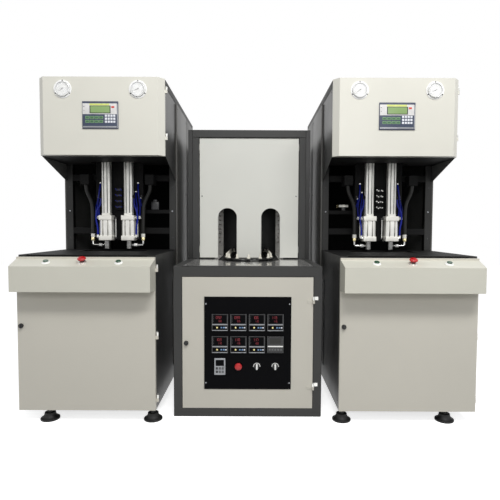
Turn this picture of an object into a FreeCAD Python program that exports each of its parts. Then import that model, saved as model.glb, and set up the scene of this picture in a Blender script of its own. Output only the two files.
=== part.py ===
import FreeCAD, Part
import math
import os

# Two-station stretch blow moulding machine with a preform heater between the stations.
# Millimetres, +Z up, front faces -Y. Origin: floor level, under the middle of the machine's box.

# ---------------------------------------------------------------- overall layout
station_width = 700.0
station_depth = 1450.0        # door face to back sheet
station_height = 1830.0
heater_width = 780.0
station_gap = 80.0            # between a station and the heater
console_proud = 85.0          # console in front of the door face
skin = 2.0                    # sheet thickness of covers and panels
tube = 40.0                   # square tube of a station frame

# ---------------------------------------------------------------- station levels
foot_height = 60.0
foot_radius = 44.0
table_height = 860.0
head_bottom = 1402.0
brace_bottom = 1297.0         # where the slanted head side meets the post
clamp_rail_top = 510.0
bracket_height = 1115.0
door_bottom = 62.0
door_top = 850.0

# ---------------------------------------------------------------- station depths behind the door face
door_depth = 22.0
door_seam = 1.0               # door to frame
head_setback = 255.0          # head cover face
cover_depth = 45.0
post_setback = 630.0
nozzle_setback = 560.0
cover_chamfer = 32.0

# ---------------------------------------------------------------- heater
heater_tube = 45.0
heater_setback = 75.0         # heater front behind the station door face
heater_deck = 800.0
oven_setback = 640.0          # oven front frame behind the station door face
oven_height = 1625.0
oven_wall = 26.0              # insulated side panel
heater_door_depth = 20.0
heater_door_seam = 2.0
arch_width = 122.0
arch_top = 1128.0
panel_seam = 3.0

# ---------------------------------------------------------------- conveyor
link_pitch = 73.0             # each link carries one preform mandrel
wheel_teeth = 12
run_links = 8                 # links along each straight run
roller_radius = 6.0
roller_height = 6.0
link_width = 14.0
link_thickness = 3.0
carrier_radius = 27.0
carrier_thickness = 5.0
mandrel_height = 27.0
bed_margin = 54.0             # bed edge outside the chain line
bed_thickness = 8.0
wheel_thickness = 5.0
wheel_shaft_radius = 14.0
idler_pin_radius = 10.0

# ---------------------------------------------------------------- oven lamps
lamp_radius = 6.0
lamp_levels = 8
lamp_step = 31.0
lamp_first = 900.0
lamp_offset = 72.0            # lamps outside the chain line
reflector_offset = 55.0       # inner reflector inside the chain line

# ---------------------------------------------------------------- clamp
mould_thickness = 240.0       # closed mould, both halves
platen_thickness = 25.0
platen_stroke = 130.0
platen_width = 360.0
platen_height = 300.0
tie_bar_radius = 16.0
tie_bar_inset = 30.0
mould_hole_radius = 6.5
mould_spacing_x = 200.0
mould_spacing_z = 160.0
clamp_bore_body = 180.0
clamp_body_length = 300.0
clamp_rod_radius = 20.0

# ---------------------------------------------------------------- stretch and seal cylinders
cavity_pitch = 138.0
back_plate_half = 150.0
seal_body = 80.0
seal_cap = 30.0
seal_tube = 73.0
seal_bottom = 920.0
seal_top = 1076.0
nozzle_radius = 16.0
nozzle_tip = 868.0
nozzle_stroke = 50.0
stretch_body = 50.0
stretch_top = 1500.0
stretch_rod_radius = 7.0
stretch_stroke = 300.0
running_fit = 0.05

# ---------------------------------------------------------------- hoses
hose_radius = 12.0
hose_foot_x = 88.0            # hose outside the nozzle line
hose_foot_z = 962.0
ferrule_length = 44.0
hose_top_z = 1267.0
blue_radius = 5.0

inlet_radius = 13.0
inlet_bore = 9.5
inlet_drop = 190.0            # inlet below the station's top
inlet_proud = 10.0
inlet_depth = 30.0

# ---------------------------------------------------------------- hinges, locks, buttons
pin_radius = 3.0
knuckle_radius = 6.0
knuckle_length = 18.0
hinge_stand = 0.5             # knuckle clear of the leaf side
head_hinge_inset = 110.0      # lower head hinge above the head's bottom
head_hinge_drop = 59.0
lock_radius = 12.0
lock_inset = 20.0
lock_height = 500.0
button_spacing = 180.0
stop_cap_radius = 21.0
start_cap_radius = 13.0
stem_radius = 8.0
console_bottom = 683.0
console_edge = 809.0
console_taper = 5.0
console_top = 840.0

# ---------------------------------------------------------------- instruments
gauge_spacing = 208.0
gauge_drop = 68.0             # gauge centres below the station's top
gauge_radius = 50.0
gauge_can_radius = 35.0
screen_width = 200.0
screen_height = 150.0
screen_drop = 210.0           # controller's middle below the station's top
fascia_width = 457.0
fascia_height = 491.0
fascia_thickness = 3.0
regulator_width = 84.0
regulator_height = 88.0
regulator_pitch_x = 97.0
regulator_pitch_z = 117.0
instrument_depth = 70.0
speed_width = 58.0
speed_height = 88.0
speed_depth = 60.0

# ---------------------------------------------------------------- places worked out from the sizes
door_face = console_proud - (station_depth + console_proud + inlet_proud) / 2
machine_shift = -(2 * knuckle_radius + hinge_stand - skin) / 2   # the right hinges stand out on one side
back = door_face + station_depth
inlet_height = station_height - inlet_drop
gauge_height = station_height - gauge_drop
screen_centre = station_height - screen_drop
station_x = heater_width / 2 + station_gap + station_width / 2
half = station_width / 2
frame_out = half - skin
frame_in = frame_out - tube
frame_front = door_face + door_depth + door_seam
post_front = door_face + post_setback
rear_post = back - skin - tube
head_face = door_face + head_setback
head_frame = head_face + cover_depth + door_seam
nozzle_y = door_face + nozzle_setback
table_rail = table_height - skin
top_rail = station_height - skin
heater_front = door_face + heater_setback
oven_front = door_face + oven_setback
heater_half = heater_width / 2
chain_radius = wheel_teeth * link_pitch / (2 * math.pi)
run_length = run_links * link_pitch
loop_front = oven_front - 62.0
loop_rear = loop_front + run_length

nodes = {}


def box(x0, x1, y0, y1, z0, z1):
    return Part.makeBox(x1 - x0, y1 - y0, z1 - z0, FreeCAD.Vector(x0, y0, z0))


def rod(radius, length, at, along):
    return Part.makeCylinder(radius, length, FreeCAD.Vector(*at), FreeCAD.Vector(*along))


def faceted(radius, length, at, along, sides, tip=None):
    """A post with flat sides, which may narrow towards its tip."""
    rings = []
    for reach, height in ((radius, 0.0), (tip or radius, length)):
        turns = [2 * math.pi * (i + 0.5) / sides for i in range(sides)]
        corners = [FreeCAD.Vector(reach * math.cos(a), reach * math.sin(a), height) for a in turns]
        rings.append(Part.makePolygon(corners + corners[:1]))
    if tip:
        solid = Part.makeLoft(rings, True, True)
    else:
        solid = Part.Face(rings[0]).extrude(FreeCAD.Vector(0, 0, length))
    turn = FreeCAD.Rotation(FreeCAD.Vector(0, 0, 1), FreeCAD.Vector(*along))
    solid.Placement = FreeCAD.Placement(FreeCAD.Vector(*at), turn)
    return solid


def prism(points, along):
    """A closed outline of straight sides, carried along a vector."""
    corners = [FreeCAD.Vector(*p) for p in points]
    wire = Part.makePolygon(corners + corners[:1])
    return Part.Face(wire).extrude(FreeCAD.Vector(*along))


def turned(profile, at, along):
    """A profile of (radius, height) points turned about its axis, which then points along."""
    corners = [FreeCAD.Vector(r, 0, h) for r, h in profile]
    face = Part.Face(Part.makePolygon(corners + corners[:1]))
    solid = face.revolve(FreeCAD.Vector(0, 0, 0), FreeCAD.Vector(0, 0, 1), 360)
    turn = FreeCAD.Rotation(FreeCAD.Vector(0, 0, 1), FreeCAD.Vector(*along))
    solid.Placement = FreeCAD.Placement(FreeCAD.Vector(*at), turn)
    return solid


def add(node, *solids, x=0.0):
    """Adds solids to a node, moved sideways to their station."""
    for solid in solids:
        moved = solid.copy()
        moved.translate(FreeCAD.Vector(x + machine_shift, 0, 0))
        nodes.setdefault(node, []).append(moved)


def both_sides(x0, x1, y0, y1, z0, z1):
    return [box(x0, x1, y0, y1, z0, z1), box(-x1, -x0, y0, y1, z0, z1)]


def tray(x0, x1, y0, y1, z0, z1):
    """A folded sheet tray, open to the back."""
    hollow = box(x0 + skin, x1 - skin, y0 + skin, y1 + skin, z0 + skin, z1 - skin)
    return box(x0, x1, y0, y1, z0, z1).cut(hollow)


def grooved(width, x, z0, z1):
    """A drawn cylinder tube: square with cut corners and two shallow grooves in each face."""
    h = width / 2
    c = width * 0.12
    outline = [(-h, -h + c), (-h + c, -h), (h - c, -h), (h, -h + c), (h, h - c), (h - c, h), (-h + c, h),
               (-h, h - c)]
    tube_body = prism([(x + px, nozzle_y + py, z0) for px, py in outline], (0, 0, z1 - z0))
    depth = width * 0.05
    for at in (-width * 0.22, width * 0.22):
        for cut in ((at - depth, at + depth, -h, -h + depth), (-h, -h + depth, at - depth, at + depth),
                    (h - depth, h, at - depth, at + depth)):
            tube_body = tube_body.cut(box(x + cut[0], x + cut[1], nozzle_y + cut[2], nozzle_y + cut[3], z0,
                                          z1))
    return tube_body


def hose(route, radius, sides):
    """A flat-sided tube along straight runs joined by tangent arcs as large as the runs allow."""
    points = [FreeCAD.Vector(*p) for p in route]
    edges, start, radii = [], points[0], []
    for a, b, c in zip(points, points[1:], points[2:]):
        before, after = (b - a), (c - b)
        turn = before.getAngle(after)
        shorter = min(before.Length, after.Length)
        cut = 0.45 * shorter
        radii.append(cut / math.tan(turn / 2))
        first = b - before.normalize() * cut
        last = b + after.normalize() * cut
        inward = (after - before).normalize()
        centre_gap = radii[-1] / math.cos(turn / 2) - radii[-1]
        edges.append(Part.LineSegment(start, first).toShape())
        edges.append(Part.Arc(first, b + inward * centre_gap, last).toShape())
        start = last
    edges.append(Part.LineSegment(start, points[-1]).toShape())
    spine = Part.Wire(edges)
    start = points[1] - points[0]
    section = faceted(radius, 1.0, tuple(points[0]), tuple(start.normalize()), sides).Faces
    section = [face.OuterWire for face in section if face.CenterOfMass.distanceToPoint(points[0]) < 1e-6][0]
    tube_body = spine.makePipeShell([section], True, False)
    expected = Part.Face(section).Area * spine.Length
    print("hose: length %.0f, least radius %.0f, volume ratio %.4f"
          % (spine.Length, min(radii), tube_body.Volume / expected))
    return tube_body


def console_box(inset):
    """The console's outer form, or its hollow when inset: a sloped box that narrows towards the front."""
    low = console_bottom + inset
    high = console_top - inset
    face = door_face - console_proud + inset
    rear = door_face
    edge = half - inset
    outline = [(-edge, rear, low), (-edge, face, low), (-edge, face, console_edge - inset * 0.6),
               (-edge, rear, high)]
    taper = edge - console_taper
    wedge = [(-edge, rear, low), (-taper, face, low), (taper, face, low), (edge, rear, low)]
    return prism(outline, (2 * edge, 0, 0)).common(prism(wedge, (0, 0, high - low)))


def side_hinge(levels, pin_y, leaf_y):
    """Knuckle hinges on a station's right side: the fixed halves with their pins, and the leaf's knuckles."""
    pin_x = half + knuckle_radius + hinge_stand
    fixed, moving = [], []
    for z in levels:
        leaf = box(half, half + 3.0, leaf_y, leaf_y + 26.0, z, z + knuckle_length)
        web = box(half + hinge_stand, pin_x, pin_y, leaf_y, z, z + knuckle_length)
        barrel = faceted(knuckle_radius, knuckle_length, (pin_x, pin_y, z), (0, 0, 1), 8)
        pin = rod(pin_radius, 2 * knuckle_length, (pin_x, pin_y, z - knuckle_length), (0, 0, 1))
        fixed.append(leaf.fuse([web, barrel, pin]).removeSplitter())
        low = z - knuckle_length
        eye = faceted(knuckle_radius, knuckle_length - 0.4, (pin_x, pin_y, low), (0, 0, 1), 8)
        tab = box(half - 1.0, pin_x, pin_y - 8.0, pin_y - 4.0, low, low + knuckle_length - 0.4)
        bore = rod(pin_radius + running_fit, 3 * knuckle_length, (pin_x, pin_y, low - 5.0), (0, 0, 1))
        moving.append(eye.fuse(tab).cut(bore))
    return fixed, moving


def door_lock(x, y, z, sheet):
    """A quarter-turn lock: knob in front of the sheet, stem through it, cam behind, pointing down."""
    knob = faceted(lock_radius, 11.0, (x, y, z), (0, -1, 0), 16)
    grip = box(x - 2.5, x + 2.5, y - 17.0, y - 10.0, z - lock_radius + 1.5, z + lock_radius - 1.5)
    stem = rod(6.0, sheet + 10.0, (x, y, z), (0, 1, 0))
    cam = box(x - 7.0, x + 7.0, y + sheet + 5.0, y + sheet + 8.0, z - 27.0, z + 7.0)
    return knob.fuse([grip, stem, cam]).removeSplitter()


def station(side, x, inner):
    """One blow station. inner is +1 where the heater is to its right and -1 where it is to its left."""
    # frame: square tubes, each end against its neighbour's side
    def side_bars(y0, y1, z0, z1):
        add(side + "_frame", *both_sides(frame_in, frame_out, y0, y1, z0, z1), x=x)

    def cross_bar(y0, z0):
        add(side + "_frame", box(-frame_in, frame_in, y0, y0 + tube, z0, z0 + tube), x=x)

    low = foot_height
    side_bars(frame_front, frame_front + tube, low, table_rail - tube)
    side_bars(post_front, post_front + tube, low, top_rail - tube)
    side_bars(rear_post, rear_post + tube, low, top_rail - tube)
    for z in (low, clamp_rail_top - tube):
        side_bars(frame_front + tube, post_front, z, z + tube)
        side_bars(post_front + tube, rear_post, z, z + tube)
    side_bars(frame_front, post_front, table_rail - tube, table_rail)
    side_bars(head_frame, rear_post + tube, top_rail - tube, top_rail)
    side_bars(head_frame, head_frame + tube, head_bottom, top_rail - tube)
    side_bars(head_frame + tube, post_front, head_bottom, head_bottom + tube)
    plate_top = seal_bottom + tube
    for y, z in ((frame_front, low), (rear_post, low), (frame_front, table_rail - tube),
                 (post_front, table_rail - tube), (post_front, plate_top), (post_front, brace_bottom),
                 (head_frame, top_rail - tube), (post_front, top_rail - tube),
                 (rear_post, top_rail - tube), (head_frame, head_bottom)):
        cross_bar(y, z)
    # back plate that carries the cylinders, against two of the cross bars
    plate_front = nozzle_y + seal_body / 2
    add(side + "_frame", box(-back_plate_half, back_plate_half, plate_front, post_front,
                             seal_bottom, stretch_top - tube), x=x)
    # valve bracket from the back plate to the post on the heater's side
    bracket_x = sorted((inner * (back_plate_half - 30.0), inner * frame_in))
    add(side + "_frame", box(bracket_x[0], bracket_x[1], post_front, post_front + 25.0,
                             bracket_height - 25.0, bracket_height), x=x)
    # spacers from the back plate to the slimmer stretch cylinders
    for cx in (-cavity_pitch / 2, cavity_pitch / 2):
        for z in (seal_top + tube, stretch_top - 3 * tube):
            add(side + "_frame", box(cx - 20.0, cx + 20.0, nozzle_y + stretch_body / 2, plate_front,
                                     z, z + tube), x=x)

    # clamp: fixed platen, rear plate, tie bars, moving platen with its cylinder
    platen_low = clamp_rail_top
    platen_high = platen_low + platen_height
    fixed_back = nozzle_y - mould_thickness / 2
    open_front = nozzle_y + mould_thickness / 2 + platen_stroke
    rear_plate = open_front + platen_thickness + 30.0
    bars_x = platen_width / 2 - tie_bar_inset
    bars_z = (platen_low + tie_bar_inset, platen_high - tie_bar_inset)
    for y in (fixed_back - platen_thickness, rear_plate):
        cross_y = y + (platen_thickness - tube) / 2
        add(side + "_frame", box(-frame_in, frame_in, cross_y, cross_y + tube,
                                 clamp_rail_top - tube, clamp_rail_top), x=x)

    def plate(y, bore):
        slab = box(-platen_width / 2, platen_width / 2, y, y + platen_thickness, platen_low, platen_high)
        if bore > 0:
            for bx in (-bars_x, bars_x):
                for bz in bars_z:
                    slab = slab.cut(rod(bore, platen_thickness, (bx, y, bz), (0, 1, 0)))
        return slab

    def mould_holes(slab, y):
        for mx in (-mould_spacing_x / 2, mould_spacing_x / 2):
            for mz in (-mould_spacing_z / 2, mould_spacing_z / 2):
                middle = platen_low + platen_height / 2
                slab = slab.cut(rod(mould_hole_radius, platen_thickness, (mx, y, middle + mz), (0, 1, 0)))
        return slab

    fixed_y = fixed_back - platen_thickness
    add("fixed_platens", mould_holes(plate(fixed_y, 0), fixed_y), x=x)
    for bx in (-bars_x, bars_x):
        for bz in bars_z:
            add("tie_bars", rod(tie_bar_radius, rear_plate - fixed_back, (bx, fixed_back, bz), (0, 1, 0)),
                x=x)
    axis_z = platen_low + platen_height / 2
    moving = mould_holes(plate(open_front, tie_bar_radius + running_fit), open_front)
    rod_start = open_front + platen_thickness
    piston_rod = rod(clamp_rod_radius, 30.0 + platen_thickness + platen_stroke + 40.0,
                     (0, rod_start, axis_z), (0, 1, 0))
    add(side + "_moving_platen", moving.fuse(piston_rod).removeSplitter(), x=x)
    guide = clamp_rod_radius + running_fit
    bored = plate(rear_plate, 0)
    bored = bored.cut(rod(guide, platen_thickness, (0, rear_plate, axis_z), (0, 1, 0)))
    body_y = rear_plate + platen_thickness
    body_half = clamp_bore_body / 2
    body = faceted(body_half - 12.0, clamp_body_length, (0, body_y, axis_z), (0, 1, 0), 16)
    for y in (body_y, body_y + clamp_body_length - tube):
        body = body.fuse(box(-body_half, body_half, y, y + tube, axis_z - body_half, axis_z + body_half))
    deep = platen_stroke + 60.0
    body = body.cut(rod(guide, deep, (0, body_y, axis_z), (0, 1, 0)))
    add("clamp_cylinders", bored, body.removeSplitter(), x=x)

    # sheets: sides, roof, back, head floor, table
    floor_hole = box(-back_plate_half - 5.0, back_plate_half + 5.0,
                     nozzle_y - stretch_body, post_front, head_bottom - skin, head_bottom)
    well = platen_width / 2 + 20.0
    well_front = fixed_y - 15.0
    head_side = [(frame_out, head_frame, head_bottom), (frame_out, post_front, brace_bottom),
                 (frame_out, post_front, top_rail), (frame_out, head_frame, top_rail)]
    add(side + "_panels",
        *both_sides(frame_out, half, post_front, back - skin, low, top_rail),
        *both_sides(frame_out, half, frame_front, post_front, low, table_rail),
        prism(head_side, (skin, 0, 0)),
        prism([(-half, y, z) for _, y, z in head_side], (skin, 0, 0)),
        box(-half, half, head_frame, back, top_rail, station_height),
        box(-half, half, back - skin, back, low, top_rail).cut(
            rod(inlet_radius + 0.3, 4 * skin, (0, back - 3 * skin, inlet_height), (0, 1, 0))),
        box(-frame_out, frame_out, head_frame, post_front, head_bottom - skin, head_bottom).cut(floor_hole),
        box(-frame_out, frame_out, frame_front, well_front, table_rail, table_height),
        *both_sides(well, frame_out, well_front, post_front, table_rail, table_height),
        *both_sides(half, half + skin, post_front - 110.0, post_front + 500.0, 142.0, 681.0), x=x)

    # feet: the inner pair stands at the corner, the outer pair further in
    for foot_x in (inner * (frame_out - tube / 2), -inner * (half - 140.0)):
        for foot_y in (frame_front + tube / 2, rear_post + tube / 2):
            foot = faceted(foot_radius, 8.0, (foot_x, foot_y, 0), (0, 0, 1), 16)
            foot = foot.fuse([faceted(foot_radius, 22.0, (foot_x, foot_y, 8.0), (0, 0, 1), 16, tip=24.0),
                              faceted(24.0, 8.0, (foot_x, foot_y, 30.0), (0, 0, 1), 16),
                              faceted(10.0, foot_height - 38.0, (foot_x, foot_y, 38.0), (0, 0, 1), 16)])
            add("station_feet", foot.removeSplitter(), x=x)

    # head cover: folded sheet with chamfered corners, hinged on its right side
    def plan(inset):
        edge = half - inset
        cut_x = half - cover_chamfer - inset * 0.414
        face = head_face + inset
        return [(-edge, head_face + cover_depth), (-edge, head_face + cover_chamfer + inset * 0.414),
                (-cut_x, face), (cut_x, face),
                (edge, head_face + cover_chamfer + inset * 0.414), (edge, head_face + cover_depth)]

    cover = prism([(px, py, head_bottom) for px, py in plan(0)], (0, 0, station_height - head_bottom))
    hollow = prism([(px, py, head_bottom + skin) for px, py in plan(skin)],
                   (0, 0, station_height - head_bottom - 2 * skin))
    cover = cover.cut(hollow)
    window = box(-screen_width / 2 + 9.0, screen_width / 2 - 9.0, head_face - 1.0, head_face + 2 * skin,
                 screen_centre - screen_height / 2 + 9.0, screen_centre + screen_height / 2 - 9.0)
    cover = cover.cut(window)
    for gx in (-gauge_spacing, gauge_spacing):
        cover = cover.cut(faceted(gauge_can_radius, 4 * skin, (gx, head_face - skin, gauge_height),
                                  (0, 1, 0), 12))
    fixed, eyes = side_hinge((head_bottom + head_hinge_inset, station_height - head_hinge_drop),
                             head_face + cover_depth, head_frame)
    add("door_hinges", *fixed, x=x)
    add(side + "_head_cover", cover.fuse(eyes).removeSplitter(), x=x)
    for gx in (-gauge_spacing, gauge_spacing):
        gauge = faceted(gauge_radius, 2.5, (gx, head_face, gauge_height), (0, -1, 0), 32)
        rim = faceted(gauge_radius - 9.0, 9.5, (gx, head_face - 2.5, gauge_height), (0, -1, 0), 32,
                      tip=gauge_radius - 11.0)
        dial = faceted(gauge_radius - 14.0, 4.0, (gx, head_face - 8.0, gauge_height), (0, -1, 0), 32)
        can = faceted(gauge_can_radius, 28.0, (gx, head_face, gauge_height), (0, 1, 0), 12)
        add(side + "_gauges", gauge.fuse([rim.cut(dial), can]).removeSplitter(), x=x)
    bezel = box(-screen_width / 2, screen_width / 2, head_face - 7.0, head_face,
                screen_centre - screen_height / 2, screen_centre + screen_height / 2)
    glass = box(-54.0, 78.0, head_face - 8.0, head_face - 5.0, screen_centre + 12.0, screen_centre + 54.0)
    rear_box = box(-screen_width / 2 + 10.0, screen_width / 2 - 10.0, head_face, head_face + 38.0,
                   screen_centre - screen_height / 2 + 10.0, screen_centre + screen_height / 2 - 10.0)
    add(side + "_controller", bezel.cut(glass).fuse(rear_box).removeSplitter(), x=x)

    # front door with the console on it, hinged on its right side
    door = tray(-half, half, door_face, door_face + door_depth, door_bottom, door_top)
    fixed, eyes = side_hinge((119.0, 446.0, 793.0), door_face + door_depth, frame_front)
    add("door_hinges", *fixed, x=x)
    lock_x = -half + lock_inset
    lock_hole = rod(6.0 + running_fit, 4 * skin, (lock_x, door_face - skin, lock_height), (0, 1, 0))
    add(side + "_front_door", door.fuse(eyes).removeSplitter().cut(lock_hole), x=x)
    add(side + "_door_lock", door_lock(lock_x, door_face, lock_height, skin), x=x)
    console = console_box(0.0).cut(console_box(skin))
    rise = console_top - console_edge
    slope = math.hypot(console_proud, rise)
    out = (0, -rise / slope, console_proud / slope)
    middle = (door_face - console_proud / 2, console_edge + rise / 2)
    places = ((0.0, "_stop_button"), (-button_spacing, "_start_button_left"),
              (button_spacing, "_start_button_right"))
    for bx, name in places:
        at = (bx, middle[0], middle[1])
        if name == "_stop_button":
            rings = ((stop_cap_radius - 6.0, 11.0, 17.0, stop_cap_radius),
                     (stop_cap_radius, 17.0, 26.0, 17.0))
            collar_radius, collar_height = 17.0, 5.5
        else:
            rings = ((start_cap_radius, 8.0, 12.5, start_cap_radius),)
            collar_radius, collar_height = 19.0, 3.5
        stem_top = rings[0][1]
        button = rod(stem_radius, stem_top + 14.0, tuple(at[i] - 14.0 * out[i] for i in range(3)), out)
        for low_radius, low_at, high_at, high_radius in rings:
            foot_at = tuple(at[i] + low_at * out[i] for i in range(3))
            button = button.fuse(faceted(low_radius, high_at - low_at, foot_at, out, 16, tip=high_radius))
        button = button.removeSplitter()
        add(side + name, button, x=x)
        bore = rod(stem_radius + running_fit, 20.0, tuple(at[i] - 10.0 * out[i] for i in range(3)), out)
        collar = faceted(collar_radius, collar_height, at, out, 16)
        console = console.fuse(collar).cut(bore)
    add(side + "_console", console, x=x)

    # stretch cylinders above, seal cylinders below, with their rods and nozzles
    for cx in (-cavity_pitch / 2, cavity_pitch / 2):
        outward = 1.0 if cx > 0 else -1.0
        barrel = grooved(stretch_body, cx, seal_top, stretch_top)
        bore_top = stretch_top - 20.0
        add("stretch_cylinders", barrel.cut(rod(stretch_rod_radius + running_fit, bore_top - seal_top,
                                                (cx, nozzle_y, seal_top), (0, 0, 1))), x=x)
        body = grooved(seal_tube, cx, seal_bottom + seal_cap, seal_top - seal_cap)
        for z in (seal_bottom, seal_top - seal_cap):
            cap = box(cx - seal_body / 2, cx + seal_body / 2, nozzle_y - seal_body / 2,
                      nozzle_y + seal_body / 2,
                      z, z + seal_cap)
            body = body.fuse(cap)
        stem = rod(nozzle_radius + running_fit, seal_top - 20.0 - seal_bottom, (cx, nozzle_y, seal_bottom),
                   (0, 0, 1))
        narrow = rod(stretch_rod_radius + running_fit, 20.0, (cx, nozzle_y, seal_top - 20.0), (0, 0, 1))
        add("seal_cylinders", body.removeSplitter().cut(stem).cut(narrow), x=x)
        stem_top = seal_top - 24.0
        nozzle = rod(nozzle_radius, stem_top - nozzle_tip, (cx, nozzle_y, nozzle_tip), (0, 0, 1))
        port_z = nozzle_tip + 24.0
        foot_x = cx + outward * hose_foot_x
        bend = 16.0
        spine = Part.Wire([
            Part.LineSegment(FreeCAD.Vector(cx + outward * (nozzle_radius - 1.0), nozzle_y, port_z),
                             FreeCAD.Vector(foot_x - outward * bend, nozzle_y, port_z)).toShape(),
            Part.Arc(FreeCAD.Vector(foot_x - outward * bend, nozzle_y, port_z),
                     FreeCAD.Vector(foot_x - outward * bend * (1 - math.sin(math.pi / 4)), nozzle_y,
                                    port_z + bend * (1 - math.cos(math.pi / 4))),
                     FreeCAD.Vector(foot_x, nozzle_y, port_z + bend)).toShape(),
            Part.LineSegment(FreeCAD.Vector(foot_x, nozzle_y, port_z + bend),
                             FreeCAD.Vector(foot_x, nozzle_y, hose_foot_z - ferrule_length)).toShape()])
        pipe_start = (cx + outward * (nozzle_radius - 1.0), nozzle_y, port_z)
        start = [face.OuterWire for face in faceted(5.5, 1.0, pipe_start, (outward, 0, 0), 8).Faces
                 if abs(face.CenterOfMass.x - pipe_start[0]) < 1e-6][0]
        pipe = spine.makePipeShell([start], True, False)
        nut = faceted(8.0, 16.0, (cx + outward * 0.37 * hose_foot_x, nozzle_y, port_z), (outward, 0, 0), 6)
        ferrule = faceted(hose_radius + 1.0, ferrule_length, (foot_x, nozzle_y,
                                                              hose_foot_z - ferrule_length), (0, 0, 1), 8)
        bore = rod(stretch_rod_radius + running_fit, stem_top - nozzle_tip, (cx, nozzle_y, nozzle_tip),
                   (0, 0, 1))
        add(side + "_seal_nozzles", nozzle.fuse([pipe, nut, ferrule]).removeSplitter().cut(bore), x=x)
        rod_top = stretch_top - 24.0
        rod_low = nozzle_tip + 3.0
        add(side + "_stretch_rods", rod(stretch_rod_radius, rod_top - rod_low, (cx, nozzle_y, rod_low),
                                        (0, 0, 1)), x=x)

        # blow hose from the elbow up to its manifold
        route = [(foot_x, nozzle_y, hose_foot_z), (foot_x, nozzle_y, hose_foot_z + 90.0),
                 (foot_x + outward * 14.0, nozzle_y + 6.0, hose_foot_z + 185.0),
                 (foot_x + outward * 44.0, nozzle_y + 10.0, hose_foot_z + 265.0),
                 (foot_x + outward * 44.0, nozzle_y + 10.0, hose_top_z)]
        add("blow_hoses", hose(route, hose_radius, 8), x=x)
        top = route[-1]
        add("air_fittings", box(top[0] - 26.0, top[0] + 26.0, nozzle_y - 18.0, post_front, hose_top_z,
                                hose_top_z + 62.0), x=x)
        # control line from the seal cylinder to the foot of the stretch cylinder
        port = cx + outward * seal_body / 2
        upper = cx + outward * stretch_body / 2
        upper_y = nozzle_y - 12.0
        for z, from_x, from_y, up in ((seal_bottom + 20.0, port, nozzle_y - 24.0, 1.0),
                                      (seal_top + 120.0, upper, upper_y, -1.0)):
            stub = faceted(blue_radius + 2.0, 14.0, (from_x, from_y, z), (outward, 0, 0), 6)
            nipple = faceted(blue_radius + 2.0, 16.0, (from_x + outward * 10.0, from_y, z), (0, 0, up), 6)
            add("air_fittings", stub.fuse(nipple).removeSplitter(), x=x)
        line = [(port + outward * 10.0, nozzle_y - 24.0, seal_bottom + 36.0),
                (port + outward * 10.0, nozzle_y - 24.0, seal_bottom + 80.0),
                (port + outward * 22.0, nozzle_y - 26.0, seal_bottom + 135.0),
                (port + outward * 14.0, nozzle_y - 26.0, seal_bottom + 190.0),
                (upper + outward * 10.0, upper_y, seal_bottom + 222.0),
                (upper + outward * 10.0, upper_y, seal_top + 104.0)]
        add("control_hoses", hose(line, blue_radius, 6), x=x)

    # air inlet through the back sheet
    inlet = turned([(inlet_bore, -inlet_depth), (inlet_radius, -inlet_depth), (inlet_radius, 0),
                    (inlet_radius + 7.0, 0), (inlet_radius + 7.0, inlet_proud), (inlet_bore, inlet_proud)],
                   (0, back, inlet_height), (0, 1, 0))
    add("air_fittings", inlet, x=x)


def stadium(margin, z0, z1):
    """A plate around the chain line, wider than it by a margin."""
    radius = chain_radius + margin
    plate = box(-radius, radius, loop_front, loop_rear, z0, z1)
    for y in (loop_front, loop_rear):
        plate = plate.fuse(rod(radius, z1 - z0, (0, y, z0), (0, 0, 1)))
    return plate.removeSplitter()


def loop_place(step):
    """Where a roller stands, counted in links from the front of the right run."""
    half_turn = wheel_teeth / 2
    if step <= run_links:
        return chain_radius, loop_front + step * link_pitch
    if step <= run_links + half_turn:
        angle = (step - run_links) * math.pi / half_turn
        return chain_radius * math.cos(angle), loop_rear + chain_radius * math.sin(angle)
    if step <= 2 * run_links + half_turn:
        return -chain_radius, loop_rear - (step - run_links - half_turn) * link_pitch
    angle = math.pi + (step - 2 * run_links - half_turn) * math.pi / half_turn
    return chain_radius * math.cos(angle), loop_front + chain_radius * math.sin(angle)


def chain_wheel(y, z, bore):
    """A wheel whose rim runs just inside the rollers, with a shallow seat at each of them."""
    wheel = rod(chain_radius - roller_radius - 0.4, wheel_thickness, (0, y, z), (0, 0, 1))
    notches = []
    for tooth in range(wheel_teeth):
        angle = 2 * math.pi * tooth / wheel_teeth
        at = (chain_radius * math.cos(angle), y + chain_radius * math.sin(angle), z)
        notches.append(faceted(roller_radius + 1.5, wheel_thickness, at, (0, 0, 1), 8))
    if bore > 0:
        notches.append(rod(bore, wheel_thickness, (0, y, z), (0, 0, 1)))
    return wheel.cut(notches)


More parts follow.
